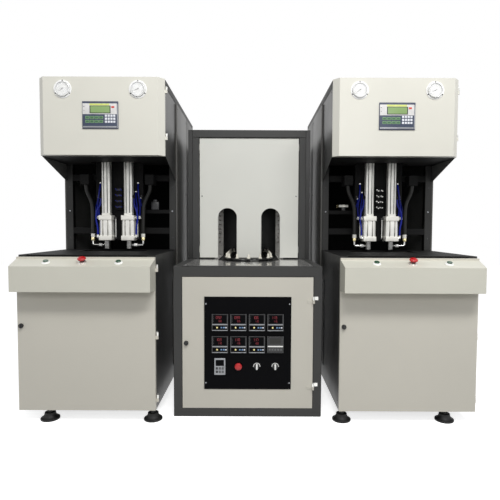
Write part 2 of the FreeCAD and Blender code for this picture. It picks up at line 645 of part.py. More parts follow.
def heater():
    t = heater_tube
    inside = heater_half - t
    bed_low = heater_deck - skin - bed_thickness
    deck_rail = bed_low - t
    rear = back - skin - t
    oven_post = oven_front + t
    wall_in = heater_half - oven_wall
    post_in = wall_in - t + 2.0
    top_bar = oven_height - skin - t

    # frame: lower cabinet, deck rails, oven posts and head bars
    for y in (heater_front, oven_front, rear):
        add("heater_frame", *both_sides(inside, heater_half, y, y + t, t, deck_rail))
    for z0, z1 in ((0.0, t), (deck_rail, heater_deck)):
        add("heater_frame", *both_sides(inside, heater_half, heater_front, rear + t, z0, z1))
        for y in (heater_front, rear):
            add("heater_frame", box(-inside, inside, y, y + t, z0, z1))
    for y in (oven_front, rear):
        add("heater_frame", *both_sides(post_in, wall_in, y, y + t, heater_deck, top_bar))
        add("heater_frame", box(-wall_in, wall_in, y, y + t, top_bar, top_bar + t))
    for y in (loop_front + t, loop_rear - 60.0 - t):
        add("heater_frame", box(-inside, inside, y, y + t, deck_rail, bed_low))

    # panels: cabinet sides, back, oven walls and roof
    add("heater_panels",
        *both_sides(inside - skin, inside, heater_front + heater_door_depth + heater_door_seam, rear, t,
                    deck_rail),
        box(-heater_half, heater_half, back - skin, back, 0.0, oven_height - skin),
        *both_sides(wall_in, heater_half, oven_front, back - skin, heater_deck, oven_height - skin),
        box(-heater_half, heater_half, oven_front, back, oven_height - skin, oven_height))
    deck = box(-inside, inside, heater_front + t, rear, heater_deck - skin, heater_deck)
    add("heater_deck", deck.cut(stadium(bed_margin, heater_deck - skin, heater_deck)))

    # white oven front with two arches, held by an ear at each corner
    edge = post_in - panel_seam
    face = oven_front + 10.0
    front = box(-edge, edge, face, face + skin, heater_deck + 8.0, top_bar - panel_seam)
    for cx in (-chain_radius, chain_radius):
        crown = arch_top - arch_width / 2
        arch = box(cx - arch_width / 2, cx + arch_width / 2, face, face + skin, heater_deck, crown)
        front = front.cut([arch, rod(arch_width / 2, skin, (cx, face, crown), (0, 1, 0))])
    for z in (heater_deck + 40.0, top_bar - 80.0):
        for ear in both_sides(edge - 20.0, post_in, face + skin, face + 12.0, z, z + 40.0):
            front = front.fuse(ear)
    add("oven_front", front.removeSplitter())

    # conveyor: bed, wheels, chain, mandrels, motor
    bed_top = heater_deck - skin
    bed = stadium(bed_margin + 14.0, bed_low, bed_top)
    bed = bed.cut(rod(wheel_shaft_radius + running_fit, bed_thickness, (0, loop_rear, bed_low), (0, 0, 1)))
    bed = bed.fuse(rod(idler_pin_radius, 10.0, (0, loop_front, bed_top), (0, 0, 1)))
    wheel_z = bed_top + 0.5
    add("conveyor_bed", bed.removeSplitter())
    add("idler_wheel", chain_wheel(loop_front, wheel_z, idler_pin_radius + running_fit))
    shaft = rod(wheel_shaft_radius, 70.0, (0, loop_rear, wheel_z - 70.0), (0, 0, 1))
    add("drive_wheel", chain_wheel(loop_rear, wheel_z, 0).fuse(shaft).removeSplitter())
    gearbox = box(-60.0, 60.0, loop_rear - 50.0, loop_rear + 110.0, bed_low - 100.0, bed_low)
    gearbox = gearbox.cut(rod(wheel_shaft_radius + running_fit, 90.0, (0, loop_rear, bed_low - 80.0),
                              (0, 0, 1)))
    motor = faceted(52.0, 190.0, (0, loop_rear + 50.0, bed_low - 290.0), (0, 0, 1), 16)
    add("conveyor_motor", gearbox.fuse(motor).removeSplitter())
    steps = 2 * run_links + wheel_teeth
    plate_low = bed_top + roller_height
    for step in range(steps):
        x0, y0 = loop_place(step)
        x1, y1 = loop_place((step + 1) % steps)
        add("conveyor_chain", faceted(roller_radius, roller_height, (x0, y0, bed_top), (0, 0, 1), 8))
        length = math.hypot(x1 - x0, y1 - y0)
        z = plate_low + (step % 2) * link_thickness
        w = link_width / 2
        outline = [(-w, 0), (-w * 0.5, -w), (length + w * 0.5, -w), (length + w, 0),
                   (length + w * 0.5, w), (-w * 0.5, w)]
        link = prism([(px, py, 0) for px, py in outline], (0, 0, link_thickness))
        turn = FreeCAD.Rotation(FreeCAD.Vector(0, 0, 1), math.degrees(math.atan2(y1 - y0, x1 - x0)))
        link.Placement = FreeCAD.Placement(FreeCAD.Vector(x0, y0, z), turn)
        add("conveyor_chain", link)
        z = plate_low + 2 * link_thickness
        add("conveyor_chain", faceted(carrier_radius, carrier_thickness, (x0, y0, z), (0, 0, 1), 12))
        z += carrier_thickness
        mandrel = faceted(11.0, 8.0, (x0, y0, z), (0, 0, 1), 8)
        peg = faceted(6.5, mandrel_height, (x0, y0, z), (0, 0, 1), 8)
        add("mandrels", mandrel.fuse(peg).removeSplitter())

    # oven: lamp racks, quartz lamps, inner and outer reflectors
    lamp_x = chain_radius + lamp_offset
    lamp_ends = (oven_front + t + 30.0, loop_rear - 10.0)
    rack_top = lamp_first + (lamp_levels - 1) * lamp_step + 30.0
    for y in (lamp_ends[0] - 4.0, lamp_ends[1]):
        add("lamp_racks", *both_sides(lamp_x - 14.0, lamp_x + 14.0, y, y + 4.0, heater_deck, rack_top))
    for level in range(lamp_levels):
        for x0 in (-lamp_x, lamp_x):
            add("heating_lamps", faceted(lamp_radius, lamp_ends[1] - lamp_ends[0],
                                         (x0, lamp_ends[0], lamp_first + level * lamp_step), (0, 1, 0), 8))
    add("reflectors",
        *both_sides(lamp_x + 14.0, lamp_x + 15.5, lamp_ends[0] - 4.0, lamp_ends[1] + 4.0, heater_deck,
                    rack_top),
        *both_sides(chain_radius - reflector_offset - 1.5, chain_radius - reflector_offset,
                    lamp_ends[0] + 60.0, lamp_ends[1] - chain_radius - 10.0, bed_top, rack_top))

    # door with its control panel
    door_x = inside - heater_door_seam
    low = t + heater_door_seam
    high = deck_rail - heater_door_seam
    door = tray(-door_x, door_x, heater_front, heater_front + heater_door_depth, low, high)
    centre_z = (low + high) / 2
    door = door.cut(box(-fascia_width / 2 + 20.0, fascia_width / 2 - 20.0, heater_front - 1.0,
                        heater_front + 2 * skin, centre_z - fascia_height / 2 + 20.0,
                        centre_z + fascia_height / 2 - 20.0))
    pin_y = heater_front - knuckle_radius - 1.5
    bore = pin_radius + running_fit
    for z in (centre_z - 229.0, centre_z + 229.0):
        post = box(inside, inside + 24.0, heater_front - 2.0, heater_front, z, z + knuckle_length)
        web = box(inside - 3.0, inside + 3.0, pin_y, heater_front - 1.0, z, z + knuckle_length)
        ring = faceted(knuckle_radius, knuckle_length, (inside, pin_y, z), (0, 0, 1), 8)
        pin = rod(pin_radius, 2 * knuckle_length, (inside, pin_y, z - knuckle_length), (0, 0, 1))
        add("door_hinges", post.fuse([web.common(box(inside, heater_half, pin_y, heater_front, z, z + 40.0)),
                                      ring, pin]).removeSplitter())
        under = z - knuckle_length
        eye = faceted(knuckle_radius, knuckle_length - 0.4, (inside, pin_y, under), (0, 0, 1), 8)
        leaf = box(inside - 34.0, door_x, heater_front - 2.0, heater_front + skin, under,
                   under + knuckle_length - 0.4)
        tab = box(door_x - 3.0, door_x, pin_y, heater_front, under, under + knuckle_length - 0.4)
        hole = rod(bore, 2 * knuckle_length, (inside, pin_y, under - 5.0), (0, 0, 1))
        door = door.fuse([eye, leaf, tab]).cut(hole)
    lock_x = -door_x + lock_inset
    door = door.cut(rod(6.0 + running_fit, 4 * skin, (lock_x, heater_front - skin, centre_z), (0, 1, 0)))
    add("heater_door", door.removeSplitter())
    add("heater_lock", door_lock(lock_x, heater_front, centre_z, skin))

    fascia_face = heater_front - fascia_thickness
    fascia = box(-fascia_width / 2, fascia_width / 2, fascia_face, heater_front,
                 centre_z - fascia_height / 2, centre_z + fascia_height / 2)
    columns = [(i - 1.5) * regulator_pitch_x for i in range(4)]
    rows = (centre_z + 111.0, centre_z + 111.0 - regulator_pitch_z)
    switch_z = rows[1] - regulator_pitch_z
    for z in rows:
        for cx in columns:
            w, h = regulator_width / 2, regulator_height / 2
            bezel = box(cx - w, cx + w, fascia_face - 8.0, fascia_face, z - h, z + h)
            recess = box(cx - w + 5.0, cx + w - 5.0, fascia_face - 8.0, fascia_face - 5.0, z - h + 5.0,
                         z + h - 5.0)
            can = box(cx - w + 8.0, cx + w - 8.0, fascia_face, fascia_face + instrument_depth,
                      z - h + 8.0, z + h - 8.0)
            add("temperature_regulators", bezel.cut(recess).fuse(can).removeSplitter())
            fascia = fascia.cut(box(cx - w + 8.0, cx + w - 8.0, fascia_face, heater_front, z - h + 8.0,
                                    z + h - 8.0))
    cx = columns[0]
    w, h = speed_width / 2, speed_height / 2
    speed = box(cx - w, cx + w, fascia_face - 10.0, fascia_face, switch_z - h, switch_z + h)
    w, h = w - 7.0, h - 8.0
    speed = speed.fuse(box(cx - w, cx + w, fascia_face, fascia_face + speed_depth, switch_z - h,
                           switch_z + h))
    fascia = fascia.cut(box(cx - w, cx + w, fascia_face, heater_front, switch_z - h, switch_z + h))
    add("speed_regulator", speed.removeSplitter())
    stem_hole = stem_radius + running_fit
    for cx in columns[1:]:
        fascia = fascia.cut(rod(stem_hole, fascia_thickness, (cx, fascia_face, switch_z), (0, 1, 0)))
    add("control_panel", fascia)
    out = (0, -1, 0)
    at = (columns[1], fascia_face, switch_z)
    stem_at = (at[0], at[1] + 20.0, at[2])
    cap = faceted(19.0, 9.0, (at[0], at[1] - 6.0, at[2]), out, 16, tip=17.0)
    add("heater_stop_button", cap.fuse(rod(stem_radius, 26.0, stem_at, out)).removeSplitter())
    for cx, name in ((columns[2], "power_switch"), (columns[3], "lamp_switch")):
        base = faceted(15.0, 6.0, (cx, fascia_face - 1.0, switch_z), out, 16)
        lever = box(cx - 4.0, cx + 4.0, fascia_face - 19.0, fascia_face - 6.0, switch_z - 13.0,
                    switch_z + 13.0)
        stem = rod(stem_radius, 22.0, (cx, fascia_face + 20.0, switch_z), out)
        add(name, base.fuse([lever, stem]).removeSplitter())


station("left", -station_x, 1)
station("right", station_x, -1)
heater()

os.makedirs("parts", exist_ok=True)
for name, solids in nodes.items():
    whole = solids[0] if len(solids) == 1 else Part.makeCompound(solids)
    whole.exportStep("parts/" + name + ".step")
    if not whole.isValid():
        print("not valid:", name)
print(len(nodes), "nodes")
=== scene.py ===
import math

import bmesh
import bpy
import numpy as np
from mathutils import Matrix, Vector


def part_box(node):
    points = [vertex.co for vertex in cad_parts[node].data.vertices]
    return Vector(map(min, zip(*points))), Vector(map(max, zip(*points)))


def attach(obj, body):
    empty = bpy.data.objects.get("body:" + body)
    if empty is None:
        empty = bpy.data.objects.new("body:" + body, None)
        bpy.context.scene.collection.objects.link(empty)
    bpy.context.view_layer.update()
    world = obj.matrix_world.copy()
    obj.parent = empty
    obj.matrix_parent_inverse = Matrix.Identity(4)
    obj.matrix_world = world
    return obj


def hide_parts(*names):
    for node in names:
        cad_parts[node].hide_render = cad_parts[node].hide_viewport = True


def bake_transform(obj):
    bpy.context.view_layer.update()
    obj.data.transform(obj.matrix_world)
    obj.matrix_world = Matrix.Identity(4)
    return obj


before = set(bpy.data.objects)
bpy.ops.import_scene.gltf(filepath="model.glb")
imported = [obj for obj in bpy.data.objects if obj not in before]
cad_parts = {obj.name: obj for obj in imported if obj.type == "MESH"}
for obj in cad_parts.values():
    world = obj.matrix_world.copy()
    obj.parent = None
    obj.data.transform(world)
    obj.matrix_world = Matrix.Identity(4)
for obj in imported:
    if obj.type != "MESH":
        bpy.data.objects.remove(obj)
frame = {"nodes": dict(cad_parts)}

# Looks of a two-station stretch blow moulding machine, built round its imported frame.
# Shapes are written in millimetres in the frame's own axes and turned into metres when a piece is made.

bl_info = {
    "name": "Blow moulding machine",
    "version": (1, 0, 0),
    "blender": (4, 5, 0),
    "location": "View3D > Sidebar > Machine",
    "description": "Detailed pieces, finishes and studio for the packed blow moulding machine",
    "category": "Object",
}

SIDES = ("left", "right")
MM = 0.001
UP = (0.0, 0.0, 1.0)
DOWN = (0.0, 0.0, -1.0)
FRONT = (0.0, -1.0, 0.0)
BACK = (0.0, 1.0, 0.0)


def linear(red, green, blue):
    """A screen colour from 0 to 255 as linear light: c / 12.92, or ((c + 0.055) / 1.055) to the power 2.4."""
    parts = [c / 255.0 for c in (red, green, blue)]
    return tuple(c / 12.92 if c <= 0.04045 else ((c + 0.055) / 1.055) ** 2.4 for c in parts)


# ---- sizes, colours and studio that the panel shows

class MachineSizes(bpy.types.PropertyGroup):
    """Sizes of the detail that the frame leaves plain."""
    sheet_fold: bpy.props.FloatProperty(
        name="Sheet fold", description="Radius of the folded edge of a painted sheet",
        default=0.0016, unit="LENGTH")
    tube_corner: bpy.props.FloatProperty(
        name="Tube corner", description="Corner radius of the square tubes",
        default=0.003, unit="LENGTH")
    small_edge: bpy.props.FloatProperty(
        name="Small edge", description="Broken edge of small machined parts",
        default=0.0006, unit="LENGTH")
    hose_radius: bpy.props.FloatProperty(
        name="Blow hose radius", description="Outside radius of the black blow hoses",
        default=0.012, unit="LENGTH")
    line_radius: bpy.props.FloatProperty(
        name="Air line radius", description="Outside radius of the blue air lines",
        default=0.005, unit="LENGTH")
    lamp_radius: bpy.props.FloatProperty(
        name="Lamp radius", description="Outside radius of a quartz lamp",
        default=0.006, unit="LENGTH")


class MachineColours(bpy.types.PropertyGroup):
    """Colours of the painted sheets and tubes."""
    cover: bpy.props.FloatVectorProperty(
        name="Head covers", description="Paint of the head covers",
        default=linear(222, 220, 209), subtype="COLOR")
    # the doors' and the consoles' paints are slightly darker copies of the cover paint: painted shade, lower on the
    # machine
    door: bpy.props.FloatVectorProperty(
        name="Doors", description="Paint of the station doors and the heater door",
        default=linear(206, 202, 190), subtype="COLOR")
    console: bpy.props.FloatVectorProperty(
        name="Consoles", description="Paint of the sloped consoles",
        default=linear(212, 210, 197), subtype="COLOR")
    oven: bpy.props.FloatVectorProperty(
        name="Oven front", description="Paint of the white sheet with the two arches",
        default=linear(216, 216, 208), subtype="COLOR")
    deck: bpy.props.FloatVectorProperty(
        name="Heater deck", description="Paint of the heater's glossy top",
        default=linear(150, 149, 146), subtype="COLOR")
    frame: bpy.props.FloatVectorProperty(
        name="Heater frame", description="Paint of the heater's tubes",
        default=linear(54, 54, 53), subtype="COLOR")
    side_panel: bpy.props.FloatVectorProperty(
        name="Side sheets", description="Paint of the side, back and roof sheets",
        default=linear(32, 32, 31), subtype="COLOR")
    side_cover: bpy.props.FloatVectorProperty(
        name="Side covers", description="Paint of the covers hung on the station sides",
        default=linear(71, 70, 67), subtype="COLOR")


class MachineStudio(bpy.types.PropertyGroup):
    """Where the camera stands and how strong the lamps are."""
    lens: bpy.props.FloatProperty(
        name="Lens", description="Focal length on a 36 mm sensor, in millimetres", default=32.4)
    stand_back: bpy.props.FloatProperty(
        name="Stand back", description="Camera distance in front of the station doors",
        default=2.267, unit="LENGTH")
    height: bpy.props.FloatProperty(
        name="Height", description="Camera height above the floor", default=0.998, unit="LENGTH")
    key_power: bpy.props.FloatProperty(
        name="Key power", description="Power of the large lamp above the camera", default=150.0, unit="POWER")
    front_power: bpy.props.FloatProperty(
        name="Front power", description="Power of the soft lamp behind the camera", default=27.0, unit="POWER")
    fill_power: bpy.props.FloatProperty(
        name="Fill power", description="Power of the two side lamps", default=20.0, unit="POWER")


# ---- shapes

class Shape:
    """Points in millimetres, and faces as lists of point numbers that run anticlockwise seen from outside."""

    def __init__(self, points, faces):
        self.points = np.asarray(points, float).reshape(-1, 3)
        self.faces = [tuple(face) for face in faces]

    def placed(self, at=(0, 0, 0), out=UP):
        """The shape carried so that its own Z points along out, with its zero at a point. Its own X follows the
        frame's X, or the frame's Y where out is nearly X."""
        z = np.asarray(out, float) / np.linalg.norm(out)
        across = np.array((1.0, 0.0, 0.0) if abs(z[0]) < 0.9 else (0.0, 1.0, 0.0))
        x = across - np.dot(across, z) * z
        x /= np.linalg.norm(x)
        return Shape(self.points @ np.stack([x, np.cross(z, x), z]) + np.asarray(at, float), self.faces)

    def spun(self, degrees):
        """The shape turned about its own Z by an angle: x cos - y sin, x sin + y cos."""
        a = math.radians(degrees)
        turn = np.array([[math.cos(a), math.sin(a), 0], [-math.sin(a), math.cos(a), 0], [0, 0, 1]])
        return Shape(self.points @ turn, self.faces)


class Parts(list):
    """Shapes with their finishes, gathered for one piece."""

    def add(self, finish, shape, at=(0, 0, 0), out=UP):
        """Takes in a shape with its zero carried to a point and its own Z along out."""
        self.append((shape.placed(at, out), finish))

    def take(self, others, at, out=FRONT):
        """Takes in other parts, carried together to a point."""
        for shape, finish in others:
            self.add(finish, shape, at, out)

    def add_blocks(self, at, rows):
        """Flat blocks on a front panel whose middle is at: finish, left, right, low, high, base, top, radius."""
        for finish, left, right, low, high, base, top, radius in rows:
            self.add(finish, slab((left, low, base), (right, high, top), radius), at, FRONT)


def joined(shapes):
    """Several shapes as one list of points and faces."""
    points, faces, start = [], [], 0
    for shape in shapes:
        points.append(shape.points)
        faces += [tuple(int(i) + start for i in face) for face in shape.faces]
        start += len(shape.points)
    return Shape(np.concatenate(points), faces)


def welded(shape):
    """The shape with points that coincide made one, and faces that have shrunk to a line left out."""
    keys = np.round(shape.points, 4)
    _, first, where = np.unique(keys, axis=0, return_index=True, return_inverse=True)
    where = where.reshape(-1)
    faces = []
    for face in shape.faces:
        corners = [int(where[i]) for i in face]
        kept = [c for i, c in enumerate(corners) if c != corners[i - 1]]
        if len(set(kept)) > 2 and len(set(kept)) == len(kept):
            faces.append(tuple(kept))
    return Shape(shape.points[first], faces)


def lofted(rings, capped=True):
    """Skin over closed rings of the same number of points: each ring's point i joins point i of the next ring,
    with the two end rings filled when capped."""
    rings = np.asarray(rings, float)
    rows, sides = rings.shape[:2]
    i = np.arange(sides)
    j = (i + 1) % sides
    start = (np.arange(rows - 1) * sides)[:, None]
    quads = np.stack([start + i, start + j, start + sides + j, start + sides + i], -1).reshape(-1, 4)
    faces = [tuple(q) for q in quads.tolist()]
    if capped:
        faces.append(tuple(range(sides))[::-1])
        faces.append(tuple(range((rows - 1) * sides, rows * sides)))
    return Shape(rings, faces)


def turned(profile, sides=40):
    """Profile points (radius, height) turned about Z: x = r cos a, y = r sin a, z = h, with the poles closed."""
    r, h = np.asarray(profile, float).T
    a = np.linspace(0.0, 2 * np.pi, sides, endpoint=False)
    rings = np.stack([np.outer(r, np.cos(a)), np.outer(r, np.sin(a)), np.outer(h, np.ones(sides))], -1)
    return welded(lofted(rings, capped=False))


def rod(radius, low, high, sides=20):
    """A plain round bar along Z."""
    return turned([(0, low), (radius, low), (radius, high), (0, high)], sides)


def ring_shape(inner, outer, low, high, sides=40):
    """A flat ring with square edges, turned about Z."""
    return turned([(inner, low), (outer, low), (outer, high), (inner, high), (inner, low)], sides)


def screw_head(radius, sides=16):
    """A low domed head: the height falls from its middle as the square of the radius."""
    reach = np.linspace(1.0, 0.0, 5)
    profile = [(0.0, 0.0), (radius, 0.0)] + [(radius * r, radius * (0.25 + 0.3 * (1 - r * r))) for r in reach]
    return turned(profile, sides)


def circle(radius, sides):
    """Points of a circle: (r cos a, r sin a)."""
    a = np.linspace(0.0, 2 * np.pi, sides, endpoint=False)
    return np.stack([radius * np.cos(a), radius * np.sin(a)], -1)


def extruded(outline, levels):
    """A flat outline carried through levels, each a height and the outline's scale there."""
    outline = np.asarray(outline, float)
    return lofted([np.column_stack([outline * scale, np.full(len(outline), z)]) for z, scale in levels])


def hex_bolt(radius, height):
    """A hexagon head: six points (r cos a, r sin a), drawn in a little at the top."""
    return extruded(circle(radius, 6), ((0.0, 1.0), (height * 0.85, 1.0), (height, 0.9)))


def slab(low, high, radius=1.0, steps=2):
    """A box with rounded edges: each point is the nearest point of a smaller box, plus the radius along the
    unit direction of a cube's grid point, so edges become quarter cylinders and corners eighth spheres."""
    low, high = np.minimum(low, high), np.maximum(low, high)
    radius = min(radius, 0.499 * float((high - low).min()))
    core = (high - low) / 2 - radius
    tilt = np.tan(np.linspace(-np.pi / 4, 0.0, steps + 1))
    line = np.concatenate([tilt, -tilt[::-1]])
    sign = np.concatenate([-np.ones(steps + 1), np.ones(steps + 1)])
    u, v = np.meshgrid(line, line, indexing="ij")
    su, sv = np.meshgrid(sign, sign, indexing="ij")
    count = len(line)
    i, j = np.meshgrid(np.arange(count - 1), np.arange(count - 1), indexing="ij")
    first = (i * count + j).reshape(-1)
    quads = np.stack([first, first + count, first + count + 1, first + 1], -1)
    shapes = []
    for axis in range(3):
        a, b = (axis + 1) % 3, (axis + 2) % 3
        for way in (-1.0, 1.0):
            direction = np.zeros(u.shape + (3,))
            direction[..., axis], direction[..., a], direction[..., b] = way, u, v
            direction /= np.linalg.norm(direction, axis=-1, keepdims=True)
            corner = np.zeros_like(direction)
            corner[..., axis], corner[..., a], corner[..., b] = way, su, sv
            points = (low + high) / 2 + corner * core + radius * direction
            faces = quads if way > 0 else quads[:, ::-1]
            shapes.append(Shape(points, faces.tolist()))
    return welded(joined(shapes))


def smoothed(points, rounds=3):
    """A smooth line through the middles of a route's runs: each round cuts every corner at a quarter and three
    quarters of its runs, which nears a quadratic B-spline, and keeps both ends."""
    line = np.asarray(points, float)
    for _ in range(rounds):
        a, b = line[:-1], line[1:]
        cut = np.stack([0.75 * a + 0.25 * b, 0.25 * a + 0.75 * b], 1).reshape(-1, 3)
        line = np.concatenate([line[:1], cut, line[-1:]])
    return line


def piped(radius, sides, route):
    """A round pipe along a smoothed route, its section square to the line and turning only as the line turns."""
    section, line = circle(radius, sides), smoothed(route, 4)
    ahead = np.gradient(line, axis=0)
    ahead /= np.linalg.norm(ahead, axis=1, keepdims=True)
    side = np.cross(ahead[0], UP if abs(ahead[0][2]) < 0.9 else BACK)
    rings = []
    for at, along in zip(line, ahead):
        side = side - np.dot(side, along) * along
        side /= np.linalg.norm(side)
        rings.append(at + section[:, :1] * side + section[:, 1:] * np.cross(along, side))
    return lofted(rings)


def drawn_tube(width, low, high):
    """A drawn cylinder tube: a square outline with cut corners and two slots in each face."""
    h, c, slot, deep, lip = width / 2, width * 0.12, width * 0.21, width * 0.1, width * 0.055
    face = [(h, -h + c)]
    for y in (-slot, slot):
        face += [(h, y - lip), (h - deep, y - lip), (h - deep, y + lip), (h, y + lip)]
    face += [(h, h - c)]
    outline = [(x * cos - y * sin, x * sin + y * cos)
               for cos, sin in ((1, 0), (0, 1), (-1, 0), (0, -1)) for x, y in face]
    return extruded(outline, ((low, 1.0), (high, 1.0)))


def slot_shade_strips(width, low, high):
    """Thin dark strips on the floors of a drawn tube's slots: painted shade in the slots."""
    h, slot, deep, lip = width / 2, width * 0.21, width * 0.1, width * 0.055
    strips = [slab((h - deep - 0.3, y - lip, low), (h - deep + 0.3, y + lip, high), 0.1, 1) for y in (-slot, slot)]
    return joined([strip.spun(90.0 * quarter) for quarter in range(4) for strip in strips])


# ---- finishes

class Flow:
    """A socket that can be used in sums; every operator adds one Math node."""

    def __init__(self, finish, socket):
        self.finish, self.socket = finish, socket

    def _math(self, operation, first, second):
        """One Math node on two values or sockets."""
        return self.finish.node("ShaderNodeMath", {"operation": operation}, {0: first, 1: second})

    def __add__(self, other):
        return self._math("ADD", self, other)

    def __radd__(self, other):
        return self._math("ADD", other, self)

    def __sub__(self, other):
        return self._math("SUBTRACT", self, other)

    def __rsub__(self, other):
        return self._math("SUBTRACT", other, self)

    def __mul__(self, other):
        return self._math("MULTIPLY", self, other)

    def __rmul__(self, other):
        return self._math("MULTIPLY", other, self)

    def above(self, edge, soft):
        """0 below the edge and 1 above it, with a soft step."""
        return self.finish.node("ShaderNodeMapRange", {"interpolation_type": "SMOOTHSTEP", "clamp": True},
                                {"Value": self, "From Min": edge - soft, "From Max": edge + soft})


class Finish:
    """One material: constants on the shader's own sockets, and maths only where the surface varies."""

    def __init__(self, name, **constants):
        self.material = bpy.data.materials.new(name)
        self.material.use_nodes = True
        self.tree = self.material.node_tree
        self.shader = self.tree.nodes["Principled BSDF"]
        for socket, value in constants.items():
            self.shader.inputs[socket.replace("_", " ")].default_value = value
        self.place = self.node("ShaderNodeTexCoord", {}, {}, "Object")

    def node(self, kind, settings, sockets, output=0):
        """Adds a node, sets its settings and sockets, and gives one of its outputs."""
        made = self.tree.nodes.new(kind)
        for key, value in settings.items():
            setattr(made, key, value)
        for key, value in sockets.items():
            if isinstance(value, Flow):
                self.tree.links.new(value.socket, made.inputs[key])
            else:
                made.inputs[key].default_value = value
        return Flow(self, made.outputs[output])

    def stretched(self, x, y, z):
        """The object's own coordinates, scaled along each axis."""
        return self.node("ShaderNodeMapping", {}, {"Vector": self.place, "Scale": (x, y, z)})

    def noise(self, scale, detail=3.0, place=None):
        """Fractal noise about 0.5."""
        return self.node("ShaderNodeTexNoise", {}, {"Vector": place or self.place, "Scale": scale, "Detail": detail})

    def mixed(self, factor, a, b):
        """Colour a where the factor is 0 and b where it is 1."""
        return self.node("ShaderNodeMix", {"data_type": "RGBA"}, {"Factor": factor, 6: a, 7: b}, 2)

    def drive(self, socket, flow):
        """Joins a varying value to one of the shader's sockets."""
        self.tree.links.new(flow.socket, self.shader.inputs[socket])

    def bumped(self, height, distance):
        """Small relief from a height."""
        self.drive("Normal", self.node("ShaderNodeBump", {}, {"Height": height, "Distance": distance}))


def shade(colour, factor=1.0):
    """A colour made darker or lighter by a factor, as the four values of a colour socket."""
    return tuple(min(1.0, c * factor) for c in colour[:3]) + (1.0,)


FINISHES = {}


def powder(name, colour, rough, grain=0.00006, sheen_change=0.08, coat=0.0, **constants):
    """Powder coat: orange peel relief, cloudy gloss, and colour that drifts by a few hundredths."""
    finish = Finish(name, Roughness=rough, Coat_Weight=coat, Coat_Roughness=0.12, **constants)
    peel = finish.noise(420.0, 4.0)
    cloud = finish.noise(3.2, 5.0)
    wipe = finish.noise(7.0, 3.0, finish.stretched(1.0, 1.0, 0.7))
    finish.drive("Base Color", finish.mixed((cloud * 0.7 + wipe * 0.3).above(0.5, 0.3),
                                            shade(colour, 0.972), shade(colour, 1.02)))
    finish.drive("Roughness", (wipe - 0.5) * (2 * sheen_change) + rough)
    finish.bumped(peel, grain)
    FINISHES[name] = finish.material


def metal(name, colour, rough, along=None, grain=0.00002, metallic=1.0):
    """Metal with fine marks, drawn out along one axis when it has a grain."""
    finish = Finish(name, Metallic=metallic, Roughness=rough)
    scale = {"x": (1.0, 60.0, 60.0), "y": (60.0, 1.0, 60.0), "z": (60.0, 60.0, 1.0)}.get(along, (12.0, 12.0, 12.0))
    marks = finish.noise(14.0, 6.0, finish.stretched(*scale))
    stain = finish.noise(18.0, 4.0)
    finish.drive("Base Color", finish.mixed(stain.above(0.52, 0.2), shade(colour, 0.9), shade(colour, 1.04)))
    finish.drive("Roughness", (marks - 0.5) * 0.22 + (stain - 0.5) * 0.12 + rough)
    finish.bumped(marks, grain)
    FINISHES[name] = finish.material


def plastic(name, colour, rough, grain=0.00003, scale=900.0, coat=0.0, **constants):
    """Moulded plastic or rubber: a fine spark texture and light dust in its gloss."""
    finish = Finish(name, Coat_Weight=coat, **constants)
    spark = finish.noise(scale, 2.0)
    dust = finish.noise(34.0, 4.0)
    finish.drive("Base Color", finish.mixed(dust.above(0.55, 0.2), shade(colour, 0.93), shade(colour, 1.06)))
    finish.drive("Roughness", (dust - 0.5) * 0.16 + rough)
    finish.bumped(spark, grain)
    FINISHES[name] = finish.material


def glowing(name, colour, strength, rough=0.3):
    """A lit display or mark: its light is a little uneven, as behind a diffuser."""
    finish = Finish(name, Base_Color=shade(colour, 0.5), Roughness=rough, Emission_Strength=strength)
    spread = finish.noise(60.0, 2.0)
    finish.drive("Emission Color", finish.mixed(spread, shade(colour, 0.85), shade(colour)))
    FINISHES[name] = finish.material


def clear(name, colour, rough, index, **constants):
    """Glass: clear, with faint smears in its gloss; a thin pane has a low alpha, so light falls straight through."""
    finish = Finish(name, Base_Color=colour, IOR=index, **constants)
    smear = finish.noise(40.0, 4.0)
    finish.drive("Roughness", smear * 0.08 + rough)
    FINISHES[name] = finish.material


